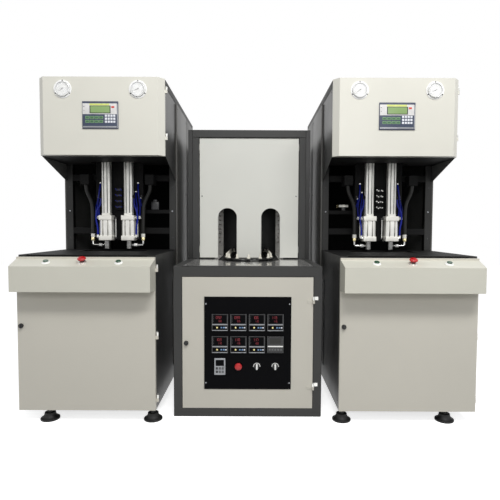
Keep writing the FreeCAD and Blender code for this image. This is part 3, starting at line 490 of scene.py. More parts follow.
def make_finishes(colours):
    """Every finish of the machine, with colours read from the photograph."""
    powder("cover_paint", colours.cover, 0.36, coat=0.12)
    # door and console paints: the cover paint made a little darker, as painted shade
    powder("door_paint", colours.door, 0.38, coat=0.1)
    powder("console_paint_shaded", colours.console, 0.36, coat=0.12)
    powder("oven_white", colours.oven, 0.42, sheen_change=0.03, coat=0.05)
    powder("frame_grey", colours.frame, 0.45, grain=0.00012, Specular_IOR_Level=0.3)
    powder("frame_dark", linear(36, 36, 35), 0.5, grain=0.00012, Specular_IOR_Level=0.3)
    powder("side_panel", colours.side_panel, 0.36, sheen_change=0.05, coat=0.1, Specular_IOR_Level=0.3)
    powder("side_cover", colours.side_cover, 0.4, sheen_change=0.05, coat=0.06, Specular_IOR_Level=0.4)
    # lighter paint for the inner faces of the dark side sheets: painted light, where little lamp light reaches
    powder("inner_wall_painted_light", linear(104, 104, 102), 0.5, Specular_IOR_Level=0.3)
    powder("deck_paint", colours.deck, 0.14, sheen_change=0.03, coat=0.6)
    # near-black paint for inside the stations: painted shade on sheets, posts and fittings, and also the real dark
    # body of the valve blocks
    powder("inner_shade_and_dark_paint", linear(20, 20, 20), 0.6, Specular_IOR_Level=0.1)
    metal("cylinder_alloy", linear(238, 237, 231), 0.34, "z", metallic=0.45)
    metal("cap_alloy", linear(238, 236, 228), 0.42, metallic=0.3)
    metal("plate_steel", linear(150, 150, 148), 0.38, "x")
    metal("dark_steel", linear(58, 58, 58), 0.42, metallic=0.7)
    metal("bright_steel", linear(214, 214, 212), 0.18, "z")
    metal("plated", linear(226, 226, 222), 0.28, metallic=0.75)
    metal("brass", linear(232, 218, 170), 0.24)
    metal("reflector", linear(222, 222, 218), 0.12, "y")
    metal("lamp_steel", linear(170, 168, 164), 0.3)
    metal("filament", linear(120, 104, 90), 0.5, "y")
    plastic("hose_black", linear(22, 22, 20), 0.5, 0.0001, 260.0, Specular_IOR_Level=0.25)
    plastic("hose_blue", linear(4, 26, 140), 0.35, Specular_IOR_Level=0.25)
    plastic("panel_black", linear(10, 10, 12), 0.45, 0.00005, 500.0, Specular_IOR_Level=0.03)
    plastic("bezel_silver", linear(150, 152, 156), 0.3, Metallic=0.4)
    plastic("gauge_white", linear(252, 252, 248), 0.26, coat=0.3)
    plastic("button_red", linear(188, 14, 20), 0.3, coat=0.15)
    plastic("button_green", linear(24, 74, 48), 0.3, coat=0.4)
    plastic("foot", linear(15, 15, 15), 0.55, 0.0001, 300.0, Specular_IOR_Level=0.3)
    for name, colour, rough in (
            ("mandrel_plastic", (226, 222, 208), 0.35), ("instrument", (24, 24, 27), 0.3),
            ("instrument_grey", (84, 85, 86), 0.4), ("controller", (62, 68, 88), 0.42),
            ("membrane_white", (224, 222, 220), 0.36), ("membrane_navy", (52, 62, 84), 0.38),
            ("key_green", (124, 164, 112), 0.4), ("key_deep", (62, 104, 72), 0.4),
            ("key_white", (234, 236, 242), 0.36), ("key_blue", (120, 158, 200), 0.36),
            ("lime_band", (216, 226, 122), 0.4), ("red_mark", (208, 72, 60), 0.4),
            ("knob_black", (26, 26, 27), 0.4), ("switch_white", (250, 250, 246), 0.3),
            ("ceramic", (222, 216, 202), 0.6)):
        plastic(name, linear(*colour), rough)
    glowing("lcd_green", linear(150, 182, 116), 0.35)
    glowing("digit_red", linear(150, 40, 52), 0.5)
    glowing("dot_yellow", linear(236, 222, 150), 0.7)
    clear("glass", (1.0, 1.0, 1.0, 1.0), 0.02, 1.45, Alpha=0.14)
    clear("lamp_glass", (0.93, 0.93, 0.95, 1.0), 0.03, 1.46, Transmission_Weight=1.0)


# ---- pieces

def show(name, mesh, finishes):
    """A new object for a mesh, at the origin, smooth across edges gentler than 32 degrees."""
    made = bpy.data.objects.new(name, mesh)
    bpy.context.scene.collection.objects.link(made)
    for finish in finishes:
        mesh.materials.append(FINISHES[finish])
    mesh.shade_smooth()
    mesh.set_sharp_from_angle(angle=math.radians(32))
    return made


def piece(name, parts, body, replaces=()):
    """A piece from (shape, finish) pairs that rides on a body and stands for CAD nodes."""
    finishes = list(dict.fromkeys(finish for _, finish in parts))
    whole = joined([shape for shape, _ in parts])
    mesh = bpy.data.meshes.new(name)
    mesh.from_pydata((whole.points * MM).tolist(), [], whole.faces)
    indexes = np.concatenate([np.full(len(shape.faces), finishes.index(finish)) for shape, finish in parts])
    mesh.polygons.foreach_set("material_index", indexes.astype(np.int32))
    mesh.validate()
    mesh.update()
    made = show(name, mesh, finishes)
    if body:
        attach(made, body)
    if replaces:
        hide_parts(*replaces)
    return made


def softened(node, finish, width, body, slot=None):
    """A copy of a CAD node with its doubled points merged and its sharp edges broken by a small radius.

    Sheets and tubes that only touch along an edge are parted there, so that each stays flat.
    """
    mesh = frame["nodes"][node].data.copy()
    mesh.name = node + "_skin"
    mesh.materials.clear()
    work = bmesh.new()
    work.from_mesh(mesh)
    bmesh.ops.remove_doubles(work, verts=work.verts, dist=0.00001)
    bmesh.ops.split_edges(work, edges=[edge for edge in work.edges if len(edge.link_faces) > 2])
    bmesh.ops.dissolve_limit(work, angle_limit=math.radians(1.0), verts=work.verts, edges=work.edges)
    work.to_mesh(mesh)
    work.free()
    mesh.polygons.foreach_set("material_index", np.zeros(len(mesh.polygons), np.int32))
    made = show(node + "_skin", mesh, [finish])
    edge = made.modifiers.new("Broken edge", "BEVEL")
    edge.width = width
    edge.segments = 2
    edge.limit_method = "ANGLE"
    edge.angle_limit = math.radians(35)
    edge.use_clamp_overlap = True
    edge.harden_normals = True
    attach(made, body)
    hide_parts(node)
    return made


def repainted(made, finish, chosen):
    """A second finish on the faces that a rule picks from their middles and directions."""
    made.data.materials.append(FINISHES[finish])
    faces = made.data.polygons
    at, facing = np.array([face.center for face in faces]), np.array([face.normal for face in faces])
    held = np.array([face.material_index for face in faces])
    held[chosen(at, facing)] = len(made.data.materials) - 1
    faces.foreach_set("material_index", held.astype(np.int32))


def mm(node):
    """The lowest and highest corner of a CAD node in millimetres."""
    low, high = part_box(node)
    return np.array(low) / MM, np.array(high) / MM


def middle(node):
    """The middle of a CAD node in millimetres."""
    low, high = mm(node)
    return (low + high) / 2


# how far a gauge stands proud of its cover, how far the posts lie behind the nozzles, and a stretch rod's radius
GAUGE_PROUD = 12.0
POST_BEHIND = 70.0
STRETCH_ROD = 7.0


class Station:
    """Where the parts of one blow station are, read from its CAD nodes."""

    def __init__(self, side):
        self.side = side
        self.x = middle(side + "_controller")[0]
        self.inner = 1.0 if side == "left" else -1.0
        self.head_face = mm(side + "_gauges")[0][1] + GAUGE_PROUD
        self.door_face = mm(side + "_front_door")[0][1]
        self.nozzle_y = middle(side + "_stretch_rods")[1]
        self.post_front = self.nozzle_y + POST_BEHIND
        rods = mm(side + "_stretch_rods")
        self.half_pitch = (rods[1][0] - rods[0][0]) / 2 - STRETCH_ROD
        self.head_body = side + "_head_door"
        self.door_body = side + "_door"

    def name(self, part):
        """The full name of one of the station's nodes, bodies or pieces."""
        return self.side + "_" + part


def stations():
    """The left station and the right one."""
    return [Station(side) for side in SIDES]


# ---- sheets and frames

def build_sheets(sizes):
    """Copies of the CAD sheets, tubes and plates with broken edges. Inward faces, inner posts and a band of air
    fittings are painted near-black as painted shade, and the inner side walls are painted lighter as painted light.
    """
    fold, corner, small = sizes.sheet_fold, sizes.tube_corner, sizes.small_edge
    still, door = "machine", "heater_door_body"
    # in metres, from a station's middle: past the side sheets, and short of the posts; then the height band under the
    # heads where the air fittings are painted near-black as painted shade
    cover_half, post_inside, shade_low, shade_high = 0.3505, 0.31, 1.15, 1.36
    for st in stations():
        softened(st.name("head_cover"), "cover_paint", small, st.head_body)
        # door and console in the darker copies of the cover paint: painted shade
        softened(st.name("front_door"), "door_paint", small, st.door_body, "cover_paint")
        softened(st.name("console"), "console_paint_shaded", small, st.door_body, "cover_paint")
        centre = middle(st.name("panels")) * MM

        def inward(at, facing):
            """Faces that look towards the middle of the station."""
            return ((at - centre) * facing).sum(1) < 0

        panels = softened(st.name("panels"), "side_panel", small, still)
        # inward faces other than the side walls get the near-black paint: painted shade inside the station
        repainted(panels, "inner_shade_and_dark_paint", lambda at, facing: inward(at, facing) & (abs(facing[:, 0]) < 0.5))
        # inward faces of the side walls get the lighter paint: painted light
        repainted(panels, "inner_wall_painted_light", lambda at, facing: inward(at, facing) & (abs(facing[:, 0]) > 0.5))
        repainted(panels, "side_cover", lambda at, facing: abs(at[:, 0] - centre[0]) > cover_half)
        posts = softened(st.name("frame"), "frame_dark", corner, still, "frame_grey")
        # the posts' inward parts get the same near-black paint: painted shade
        repainted(posts, "inner_shade_and_dark_paint", lambda at, facing: abs(at[:, 0] - centre[0]) < post_inside)
        softened(st.name("moving_platen"), "plate_steel", fold, st.name("moving_platen_body"))
        softened(st.name("stretch_rods"), "bright_steel", small, st.name("stretch_rods_body"))
    for row in (("heater_frame", "frame_grey", corner, still),
                ("heater_panels", "side_panel", small, still),
                ("heater_deck", "deck_paint", small, still),
                ("oven_front", "oven_white", small, still),
                ("heater_door", "door_paint", small, door, "cover_paint"),
                ("control_panel", "panel_black", small, door),
                ("fixed_platens", "plate_steel", fold, still),
                ("tie_bars", "bright_steel", small, still),
                ("clamp_cylinders", "dark_steel", fold, still),
                ("conveyor_motor", "dark_steel", fold, still),
                ("conveyor_bed", "dark_steel", small, still),
                ("conveyor_chain", "dark_steel", small, still),
                ("drive_wheel", "dark_steel", small, "drive_wheel_body"),
                ("idler_wheel", "dark_steel", small, "idler_wheel_body"),
                ("door_hinges", "plated", small, still, "bright_steel"),
                ("lamp_racks", "lamp_steel", small, still, "bright_steel"),
                ("reflectors", "reflector", small, still)):
        softened(*row)
    fittings = softened("air_fittings", "plated", small, still, "fitting")
    # plated air fittings in the band under the heads get the near-black paint: painted shade
    repainted(fittings, "inner_shade_and_dark_paint", lambda at, facing: (at[:, 2] > shade_low) & (at[:, 2] < shade_high))


def build_covers():
    """Side covers: shallow trays hung on each station's sides in two columns, below a top rail."""
    # the access covers, which give the side its widest face, stand 2 mm proud of the sheets that the trays hang on
    access, sunk, proud, inset, gap = 2.0, 0.5, 10.0, 16.0, 3.0
    tray_low, tray_drop, rail_drop = 700.0, 45.0, 41.0
    parts = Parts()
    for st in stations():
        low, high = mm(st.name("panels"))
        half, back, top = (high[0] - low[0]) / 2 - access, high[1], high[2]
        split = (st.post_front + back) / 2
        front = mm(st.name("head_cover"))[1][1] + gap
        for way in (-1.0, 1.0):
            side = st.x + way * half
            face = side + way * proud
            for y0, y1 in ((st.post_front + 2.0, split - gap), (split + gap, back - 4.0)):
                parts.add("side_cover", slab((side - way * sunk, y0, tray_low), (face, y1, top - tray_drop), 1.6))
                for z in (tray_low + 30.0, 1240.0, top - tray_drop - 30.0):
                    for y in (y0 + inset, y1 - inset):
                        parts.add("instrument", screw_head(3.4), (face, y, z), (way, 0, 0))
            parts.add("frame_dark", slab((side - way * sunk, front, top - rail_drop),
                                         (side + way * 1.5, back - gap, top - 2.0), 0.6))
    piece("side_covers", parts, "machine")


# ---- gauges and controllers

def gauge(turn):
    """One pressure gauge: enamelled flange, bezel, dial with ticks and needle, glass, three screws and its can."""
    dial, tick_end, screw_circle = 8.0, 32.6, 45.9
    parts = Parts()
    parts.add("gauge_white", turned([(0, 0), (49.3, 0), (50, 0.6), (50, 1.8), (49.3, 2.5), (0, 2.5)], 56))
    parts.add("gauge_white", turned([(36, 2.4), (41, 2.4), (40.6, 9.6), (39.7, 11.4), (38.4, 12.0), (37, 11.5),
                                     (36, 10), (36, 2.4)], 56))
    parts.add("gauge_white", rod(35.9, 2.4, dial, 48))
    parts.add("bezel_silver", ring_shape(41.0, 42.4, 2.4, 2.8, 56))
    parts.add("bezel_silver", ring_shape(34.8, 36.0, dial, 10.0, 56))
    parts.add("glass", rod(36, 10.6, 11.2, 48))
    parts.add("instrument", rod(33.4, -28, 0, 32))
    for number in range(28):
        long = 6.0 if number % 3 == 0 else 3.0
        tick = slab((tick_end - long, -0.35, dial), (tick_end, 0.35, dial + 0.25), 0.1, 1)
        parts.add("instrument", tick.spun(225.0 - number * 10.0))
    needle = Shape([(-8, -1.3, 8.6), (25, -0.3, 8.6), (25, 0.3, 8.6), (-8, 1.3, 8.6),
                    (-8, -1.3, 9.2), (25, -0.3, 9.2), (25, 0.3, 9.2), (-8, 1.3, 9.2)],
                   [(3, 2, 1, 0), (4, 5, 6, 7), (0, 1, 5, 4), (1, 2, 6, 5), (2, 3, 7, 6), (3, 0, 4, 7)])
    parts.add("instrument", needle.spun(turn))
    parts.add("instrument_grey", turned([(0, dial), (2.6, dial), (2.6, 9.6), (1.8, 10.2), (0, 10.2)], 20))
    for angle in (90.0, 210.0, 330.0):
        a = math.radians(angle)
        parts.add("instrument", screw_head(3.4), (screw_circle * math.cos(a), screw_circle * math.sin(a), 2.4))
    return parts


def build_gauges():
    """Two gauges on each head cover, with their needles at slightly different pressures."""
    flange = 50.0
    for st in stations():
        low, high = mm(st.name("gauges"))
        parts = Parts()
        for x, turn in ((low[0] + flange, 218.0), (high[0] - flange, 206.0)):
            parts.take(gauge(turn), (x, st.head_face, (low[2] + high[2]) / 2))
        piece(st.name("pressure_gauges"), parts, st.head_body, [st.name("gauges")])


def build_controllers():
    """Operator panels: a plate with a display, eight soft keys and a number pad, and the box behind the sheet."""
    rows = [("controller", -100, 100, -75, 75, 0, 6.0, 2.5),
            ("instrument", -90, 90, -65, 65, -38, 0, 2.0),
            ("membrane_navy", -97, 92, -71, 3.5, 5.8, 6.8, 0.4),
            ("membrane_white", -97, 92, 4.0, 62.5, 5.8, 7.0, 0.4),
            ("bezel_silver", 92.5, 98.5, -72, 60, 5.8, 6.9, 0.4),
            ("lime_band", -58.5, 52, 51.5, 61.5, 6.8, 7.3, 0.2),
            ("instrument", -58, 58, 8.5, 50.5, 6.8, 7.4, 0.3),
            ("lcd_green", -53, 53, 12.5, 47.5, 7.2, 7.7, 0.2),
            ("red_mark", 62, 79, 38, 48, 6.8, 7.4, 0.3),
            ("instrument", -92, -86, 44, 47, 6.8, 7.3, 0.2),
            ("instrument", -92, -86, 24, 26, 6.8, 7.3, 0.2),
            ("bezel_silver", -95, 90, -69, -61, 6.6, 7.2, 0.2)]
    for z in (-13.8, -35.4):
        for x in (-70.5 + column * 25.3 for column in range(4)):
            rows += [("key_green", x - 11, x + 11, z - 7.5, z + 7.5, 6.6, 7.3, 0.4),
                     ("key_deep", x - 8.6, x + 8.6, z - 5.2, z + 5.2, 7.1, 7.6, 0.3)]
    for z in (-4.4, -20.8, -37.2):
        for x in (32.0 + column * 15.3 for column in range(4)):
            rows.append(("key_white", x - 5.8, x + 5.8, z - 5.8, z + 5.8, 6.6, 7.6, 0.6))
    for st in stations():
        x, _, z = middle(st.name("controller"))
        parts = Parts()
        parts.add_blocks((x, st.head_face, z), rows)
        piece(st.name("operator_panel"), parts, st.head_body, [st.name("controller")])


# ---- cylinders, nozzles and hoses

def build_cylinders():
    """Stretch cylinders above, seal cylinders below them, and a slim guide beside each seal cylinder."""
    stretch_low, stretch_high = mm("stretch_cylinders")
    seal_low, seal_high = mm("seal_cylinders")
    stretch_width, seal_width, lid, cap = 50.0, 73.0, 14.0, 30.0
    stretch, seal, guides = Parts(), Parts(), Parts()
    cap_screw = turned([(0, 0), (3.9, 0), (3.9, 1.6), (3.4, 2.2), (2.2, 2.2), (2.0, 0.8), (0, 0.8)], 16)
    guide = turned([(0, 0), (4.2, 0), (4.8, 0.8), (4.8, 127.2), (4.2, 128.0), (0, 128.0)], 20)
    for st in stations():
        y = st.nozzle_y
        for way in (-1.0, 1.0):
            x = st.x + way * st.half_pitch
            low, high = stretch_low[2], stretch_high[2]
            stretch.add("cylinder_alloy", drawn_tube(stretch_width, low, high), (x, y, 0.0))
            # dark strips on the stretch tube's slot floors: painted shade
            stretch.add("dark_steel", slot_shade_strips(stretch_width, low + lid, high - lid), (x, y, 0.0))
            for z in (low + 0.3, high - lid):
                stretch.add("cap_alloy", slab((x - 24.8, y - 24.8, z), (x + 24.8, y + 24.8, z + 13.6), 2.5))
            low, high = seal_low[2], seal_high[2]
            seal.add("cylinder_alloy", drawn_tube(seal_width, low + cap, high - cap), (x, y, 0.0))
            # lighter grey strips on the seal tube's slot floors: a fainter painted shade
            seal.add("lamp_steel", slot_shade_strips(seal_width, low + cap, high - cap), (x, y, 0.0))
            for z, rise, out in ((low, 0.0, DOWN), (high - cap, cap, UP)):
                seal.add("cap_alloy", slab((x - 40, y - 40, z), (x + 40, y + 40, z + cap), 3.5, 3))
                for across in (-34.0, 34.0):
                    for along in (-34.0, 34.0):
                        seal.add("dark_steel", cap_screw, (x + across, y + along, z + rise), out)
            # slim guide on the heater's side of each seal cylinder, held by a lug on both caps
            guide_x = x + st.inner * 49.0
            for z in (low + 9.0, high - 21.0):
                guides.add("dark_steel", slab((x + st.inner * 39.0, y + 13.0, z),
                                              (guide_x + st.inner * 6.5, y + 27.0, z + 12.0), 1.5))
            guides.add("bright_steel", guide, (guide_x, y + 20.0, low + 14.0))
    piece("stretch_cylinder_tubes", stretch, "machine", ["stretch_cylinders"])
    piece("seal_cylinder_blocks", seal, "machine", ["seal_cylinders"])
    piece("seal_cylinder_guides", guides, "machine")


# from a nozzle's axis to the hose that feeds it
HOSE_REACH = 88.0


def build_nozzles():
    """Blow nozzles: a grooved body round the stretch rod, an elbow with its union, and the hose's nut and crimp."""
    rod_bore, hose_bore = 7.05, 5.2
    union = turned([(0, 0), (7.4, 0), (9.0, 1.6), (9.4, 5.0), (9.4, 15.0), (9.0, 18.4), (7.4, 20.0), (0, 20.0)], 28)
    nut = turned([(hose_bore, 0.0), (9.4, 0.0), (11.6, 2.0), (12.0, 4.0), (12.0, 18.0), (11.2, 20.5),
                  (hose_bore, 20.5), (hose_bore, 0)], 32)
    ridges = [(hose_bore, 20.4), (11.4, 20.4)]
    for ridge in range(5):
        ridges += [(12.7, 22.0 + ridge * 4.2), (12.7, 24.0 + ridge * 4.2), (12.1, 24.8 + ridge * 4.2)]
    crimp = turned(ridges + [(12.6, 43.4), (12.0, 44.0), (hose_bore, 44.0), (hose_bore, 20.4)], 32)
    for st in stations():
        low, high = mm(st.name("seal_nozzles"))
        tip, stem, y, parts = low[2], high[2] - low[2], st.nozzle_y, Parts()
        body = turned([(rod_bore, 0.0), (12.5, 0.0), (16.0, 3.0), (16.0, 11.0), (14.6, 12.0), (14.6, 14.5),
                       (16.0, 15.5), (16.0, 34.0), (15.2, 35.0), (15.2, 37.0), (16.0, 38.0), (16.0, stem),
                       (rod_bore, stem), (rod_bore, 0.0)], 36)
        for way in (-1.0, 1.0):
            x = st.x + way * st.half_pitch
            port, foot, out = tip + 24.0, x + way * HOSE_REACH, (way, 0, 0)
            parts.add("plate_steel", body, (x, y, tip))
            parts.add("bright_steel", piped(5.4, 18, [
                (x + way * 14.5, y, port), (x + way * 50.0, y, port), (foot - way * 14.0, y, port),
                (foot, y, port + 2.0), (foot, y, port + 16.0), (foot, y, port + 30.0)]))
            parts.add("switch_white", union, (x + way * 31.0, y, port), out)
            parts.add("bright_steel", hex_bolt(8.0, 4.0), (x + way * 15.2, y, port), out)
            parts.add("brass", nut, (foot, y, port + 26.0))
            parts.add("cap_alloy", crimp, (foot, y, port + 26.0))
        piece(st.name("blow_nozzles"), parts, st.name("seal_nozzles_body"), [st.name("seal_nozzles")])


def build_hoses(sizes):
    """Blow hoses, and the fixed blue air lines with their fittings."""
    low, high = mm("blow_hoses")
    seal_low, seal_high = mm("seal_cylinders")
    foot, base, cap = low[2], seal_low[2], seal_high[2]
    radius, line_radius, thin_radius = sizes.hose_radius / MM, sizes.line_radius / MM, 4.5
    collar = turned([(0, -5.5), (6.0, -5.5), (6.6, -4.0), (6.6, 7.5), (5.4, 11.5), (0, 11.5)], 20)
    gland = turned([(0, -0.5), (6.0, -0.5), (6.0, 5.0), (4.8, 7.0), (0, 7.0)], 16)
    lines, sleeves = Parts(), Parts()
    for number, st in enumerate(stations()):
        y, hoses = st.nozzle_y, Parts()
        for way in (-1.0, 1.0):
            x = st.x + way * (st.half_pitch + HOSE_REACH)
            hoses.add("hose_black", piped(radius, 20, [
                (x, y, foot - 1.0), (x, y, foot + 45.0), (x, y, foot + 90.0), (x + way * 3.0, y + 6.0, foot + 190.0),
                (x + way * 40.0, y + 10.0, foot + 262.0), (x + way * 44.0, y + 10.0, high[2] + 1.0)]))
            # blue air lines: one from cap to cap, and three that run from the upper cap up to the valves
            port, upper = st.x + way * (st.half_pitch + 40.0), st.x + way * (st.half_pitch + 25.0)
            lines.add("hose_blue", piped(line_radius, 14, [
                (port + way * 10, y - 24, base + 36), (port + way * 10, y - 24, base + 80),
                (port + way * 22, y - 26, base + 135), (port + way * 14, y - 26, base + 190),
                (upper + way * 10, y - 12, base + 222), (upper + way * 10, y - 12, cap + 104)]))
            for lean, top in ((6.0, 150.0), (20.0, 205.0), (34.0, 110.0)):
                reach = 3.0 + lean
                start = np.array([port + way * reach, y - 6.0 + lean, cap - 15.0])
                route = [start + (0, 0, 10.0), start + (0, 0, 24.0), start + (way * 4.0, 4.0, 60.0),
                         (port + way * (lean - 8.0), y + 18.0, cap + 0.75 * top),
                         (port + way * (lean - 10.0), y + 38.0, cap + top)]
                lines.add("hose_blue", piped(thin_radius, 12, route))
                stub = turned([(0, -reach - 1.0), (5.0, -reach - 1.0), (5.0, 4.0), (4.0, 5.5), (0, 5.5)], 18)
                sleeves.add("plated", stub, start, (way, 0, 0))
                sleeves.add("switch_white", collar, start)
                sleeves.add("plated", gland, (route[-1][0], y + 40.0, route[-1][2]), FRONT)
        made = piece(st.name("blow_hose_pair"), hoses, None,
                     ["blow_hoses"] if number == 0 else ())
        st.name("seal_nozzles_body")
        y * MM
        y * MM
        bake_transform(made)
    piece("air_lines", lines, "machine", ["control_hoses"])
    piece("air_line_fittings", sleeves, "machine")


def build_valves():
    """Valve blocks on the back plate and the bracket, with their fittings."""
    bracket = 1115.0
    above_caps = mm("seal_cylinders")[1][2] + 34.0
    barb = turned([(0, 0), (3.6, 0), (3.6, 3.0), (2.4, 4.0), (2.4, 8.0), (3.0, 9.0), (0, 10.0)], 14)
    parts = Parts()
    for st in stations():
        plate = st.nozzle_y + 40.0
        # the valve block's dark body, in the same near-black paint that also paints the shade inside the stations
        parts.add("inner_shade_and_dark_paint", slab((st.x - 22, plate - 20, above_caps), (st.x + 22, plate + 0.5, above_caps + 150),
                                      2.0))
        for row in range(4):
            level = above_caps + 20.0 + row * 36.0
            parts.add("instrument" if row % 2 else "dark_steel",
                      slab((st.x - 18, plate - 25, level - 6), (st.x + 18, plate - 19.5, level + 6), 1.2))
            for aside, drop in ((-17.0, 4.0), (-6.0, -3.0), (4.0 + 3.0 * row, 2.0), (18.0, -1.0 * row)):
                parts.add("hose_blue" if st.side == "left" else "plated", barb,
                          (st.x + aside, plate - 25.0, level + drop), FRONT)
        for aside in (-138.0, 138.0):
            for z in (945.0, 1200.0, 1420.0):
                parts.add("dark_steel", hex_bolt(6.0, 4.0), (st.x + aside, plate, z), FRONT)
        x, y = st.x + st.inner * 216.0, st.post_front
        if st.side == "left":
            parts.add("instrument", slab((x - 25, y + 1, bracket - 0.3), (x + 25, y + 24, bracket + 52), 3.0))
            parts.add("instrument", slab((x - 12, y + 4, bracket + 51), (x + 12, y + 21, bracket + 66), 2.0))
        else:
            # a throttle lying on the bracket, with a brass plug at its outer end
            at = (x + 34.0, y + 12.0, bracket + 28.0)
            parts.add("cap_alloy", turned([(0, 0), (8.0, 0), (9.0, 1.5), (9.0, 22.0), (11.5, 23.0), (11.5, 36.0),
                                           (9.0, 37.0), (9.0, 60.0), (8.0, 62.0), (0, 62.0)], 24), at, (-1, 0, 0))
            parts.add("brass", hex_bolt(11.0, 12.0), (at[0] - 61.5, at[1], at[2]), (-1, 0, 0))
            parts.add("dark_steel", slab((x - 8, y + 4, bracket - 0.3), (x + 14, y + 20, bracket + 20), 1.5))
    piece("valve_blocks", parts, "machine")


# ---- buttons, locks, feet and screws

def console_frame(st, node):
    """Where a console button's axis meets the sloped console face, and which way it points."""
    rise, proud = 31.0, 85.0
    slope = math.hypot(rise, proud)
    top = mm(st.name("front_door"))[1][2] - 10.0
    at = (middle(st.name(node))[0], st.door_face - proud / 2, top - rise / 2)
    return at, (0.0, -rise / slope, proud / slope)


def build_buttons():
    """A red mushroom between two green caps on each console, with the collars that stay on the door."""
    bore = 8.2
    stop_cap = turned([(0, 13.9), (13.0, 13.9), (15.0, 14.2), (17.2, 16.0), (20.2, 19.4), (21.0, 21.4),
                       (20.4, 24.6), (18.6, 27.2), (15.4, 28.9), (10.0, 29.9), (0, 30.4)], 44)
    stop_collar = turned([(bore, 0), (21.5, 0), (21.5, 1.2), (18.2, 3.0), (18.2, 6.9), (16.0, 7.5), (bore, 7.5),
                          (bore, 0)], 40)
    start_cap = turned([(0, 7.9), (12.4, 7.9), (13.0, 8.4), (13.0, 11.4), (12.0, 12.4), (4.0, 12.1), (0, 12.0)], 36)
    start_collar = turned([(bore, 0), (20.6, 0), (20.6, 1.4), (19.2, 3.4), (17.0, 4.4), (14.6, 4.4), (14.6, 6.6),
                           (13.6, 7.4), (13.4, 3.0), (bore, 3.0), (bore, 0)], 40)
    for st in stations():
        parts, collars = Parts(), Parts()
        at, out = console_frame(st, "stop_button")
        parts.add("button_red", stop_cap, at, out)
        parts.add("knob_black", rod(7.9, -14, 14, 24), at, out)
        parts.add("button_red", ring_shape(9.0, 12.0, 29.2, 29.9, 32), at, out)
        piece(st.name("stop_mushroom"), parts, st.name("stop_button_body"), [st.name("stop_button")])
        collars.add("plated", stop_collar, at, out)
        for tag in ("start_button_left", "start_button_right"):
            parts = Parts()
            at, out = console_frame(st, tag)
            parts.add("button_green", start_cap, at, out)
            parts.add("knob_black", rod(7.9, -14, 8, 24), at, out)
            piece(st.name(tag + "_cap"), parts, st.name(tag + "_body"), [st.name(tag)])
            collars.add("switch_white", start_collar, at, out)
        piece(st.name("button_collars"), collars, st.door_body)


def lock_parts(at):
    """A quarter-turn lock: dished knob with a bar grip, its stem, and the cam behind the sheet."""
    x, y, z = at
    knob = [(0, 0), (11.4, 0), (12.0, 0.8), (12.0, 8.6), (10.8, 10.8), (8.6, 11.2), (7.6, 10.2), (0, 10.2)]
    parts = Parts()
    parts.add("knob_black", turned(knob, 32), at, FRONT)
    parts.add("knob_black", slab((x - 2.6, y - 17.0, z - 10.4), (x + 2.6, y - 9.0, z + 10.4), 1.6))
    parts.add("dark_steel", rod(5.95, 0, 12, 20), at, BACK)
    parts.add("plated", slab((x - 7, y + 7.0, z - 27), (x + 7, y + 10.0, z + 7), 1.0))
    return parts


def build_locks():
    """The locks of both station doors and of the heater door."""
    knob_radius = 12.0
    rows = [(st.name("door_knob"), st.name("door_lock"), st.door_face) for st in stations()]
    for name, node, face in rows + [("heater_knob", "heater_lock", mm("control_panel")[1][1])]:
        at = (middle(node)[0], face, mm(node)[1][2] - knob_radius)
        piece(name, lock_parts(at), node + "_body", [node])


def build_feet():
    """Levelling feet: each stands where its CAD foot does, two rows of them under each station."""
    low, high = mm("station_feet")
    pad_reach, pad_top, nut = 43.15, 38.0, 9.0
    pad = turned([(0, 0), (46.0, 0), (48.0, 1.8), (48.0, 8.0), (46.5, 10.0), (43.0, 11.2), (37.0, 15.0), (31.0, 23.0),
                  (28.4, 29.0), (27.6, 36.6), (26.2, pad_top), (0, pad_top)], 40)
    start = pad_top + nut
    thread = turned([(0, start)] + [(9.8 - 1.2 * (i % 2), start + i) for i in range(14)] + [(0, start + 13.0)], 20)
    parts = Parts()
    for st in stations():
        for x in (st.x + st.inner * 328.0, st.x - st.inner * 210.0):
            for y in (low[1] + pad_reach, high[1] - pad_reach):
                parts.add("foot", pad, (x, y, 0))
                parts.add("dark_steel", hex_bolt(15.5, nut), (x, y, pad_top))
                parts.add("plated", thread, (x, y, 0))
    piece("levelling_feet", parts, "machine", ["station_feet"])


def build_fasteners():
    """Screws that hold the sheets: on the posts, the access covers, the roof edges and the oven front."""
    parts = Parts()
    cover_half, sheet_half = 352.0, 350.0
    for st in stations():
        front = st.post_front
        for way in (-1.0, 1.0):
            x = st.x + way * 328.0
            parts.add("bezel_silver", screw_head(5.0), (x, front, 1106.0), FRONT)
            for z in (935.0, 1260.0):
                parts.add("instrument", screw_head(4.0), (x, front, z), FRONT)
            for y in (front - 98.0, front + 195.0, front + 488.0):
                for z in (154.0, 669.0):
                    parts.add("instrument", screw_head(4.0), (st.x + way * cover_half, y, z), (way, 0, 0))
            for y, z in ((-360.0, 1440.0), (-360.0, 1770.0), (-100.0, 1380.0), (-100.0, 1770.0), (-640.0, 100.0),
                         (-640.0, 810.0), (740.0, 100.0), (740.0, 660.0)):
                parts.add("instrument", screw_head(3.4), (st.x + way * sheet_half, y, z), (way, 0, 0))
        back = mm(st.name("panels"))[1][1]
        for x in (-330.0, 0.0, 330.0):
            for z in (100.0, 480.0, 900.0, 1300.0, 1780.0):
                parts.add("instrument", screw_head(3.4), (st.x + x, back, z), BACK)
    low, high = mm("oven_front")
    for x in (low[0] + 18.0, high[0] - 18.0):
        parts.add("instrument_grey", screw_head(4.0), (x, low[1], 1205.0), FRONT)
    low, high = mm("heater_panels")
    for x in (low[0] + 22.0, (low[0] + high[0]) / 2, high[0] - 22.0):
        for z in (60.0, 420.0, 780.0, 1200.0, 1590.0):
            parts.add("instrument", screw_head(3.4), (x, high[1], z), BACK)
    piece("sheet_screws", parts, "machine")


# ---- heater panel

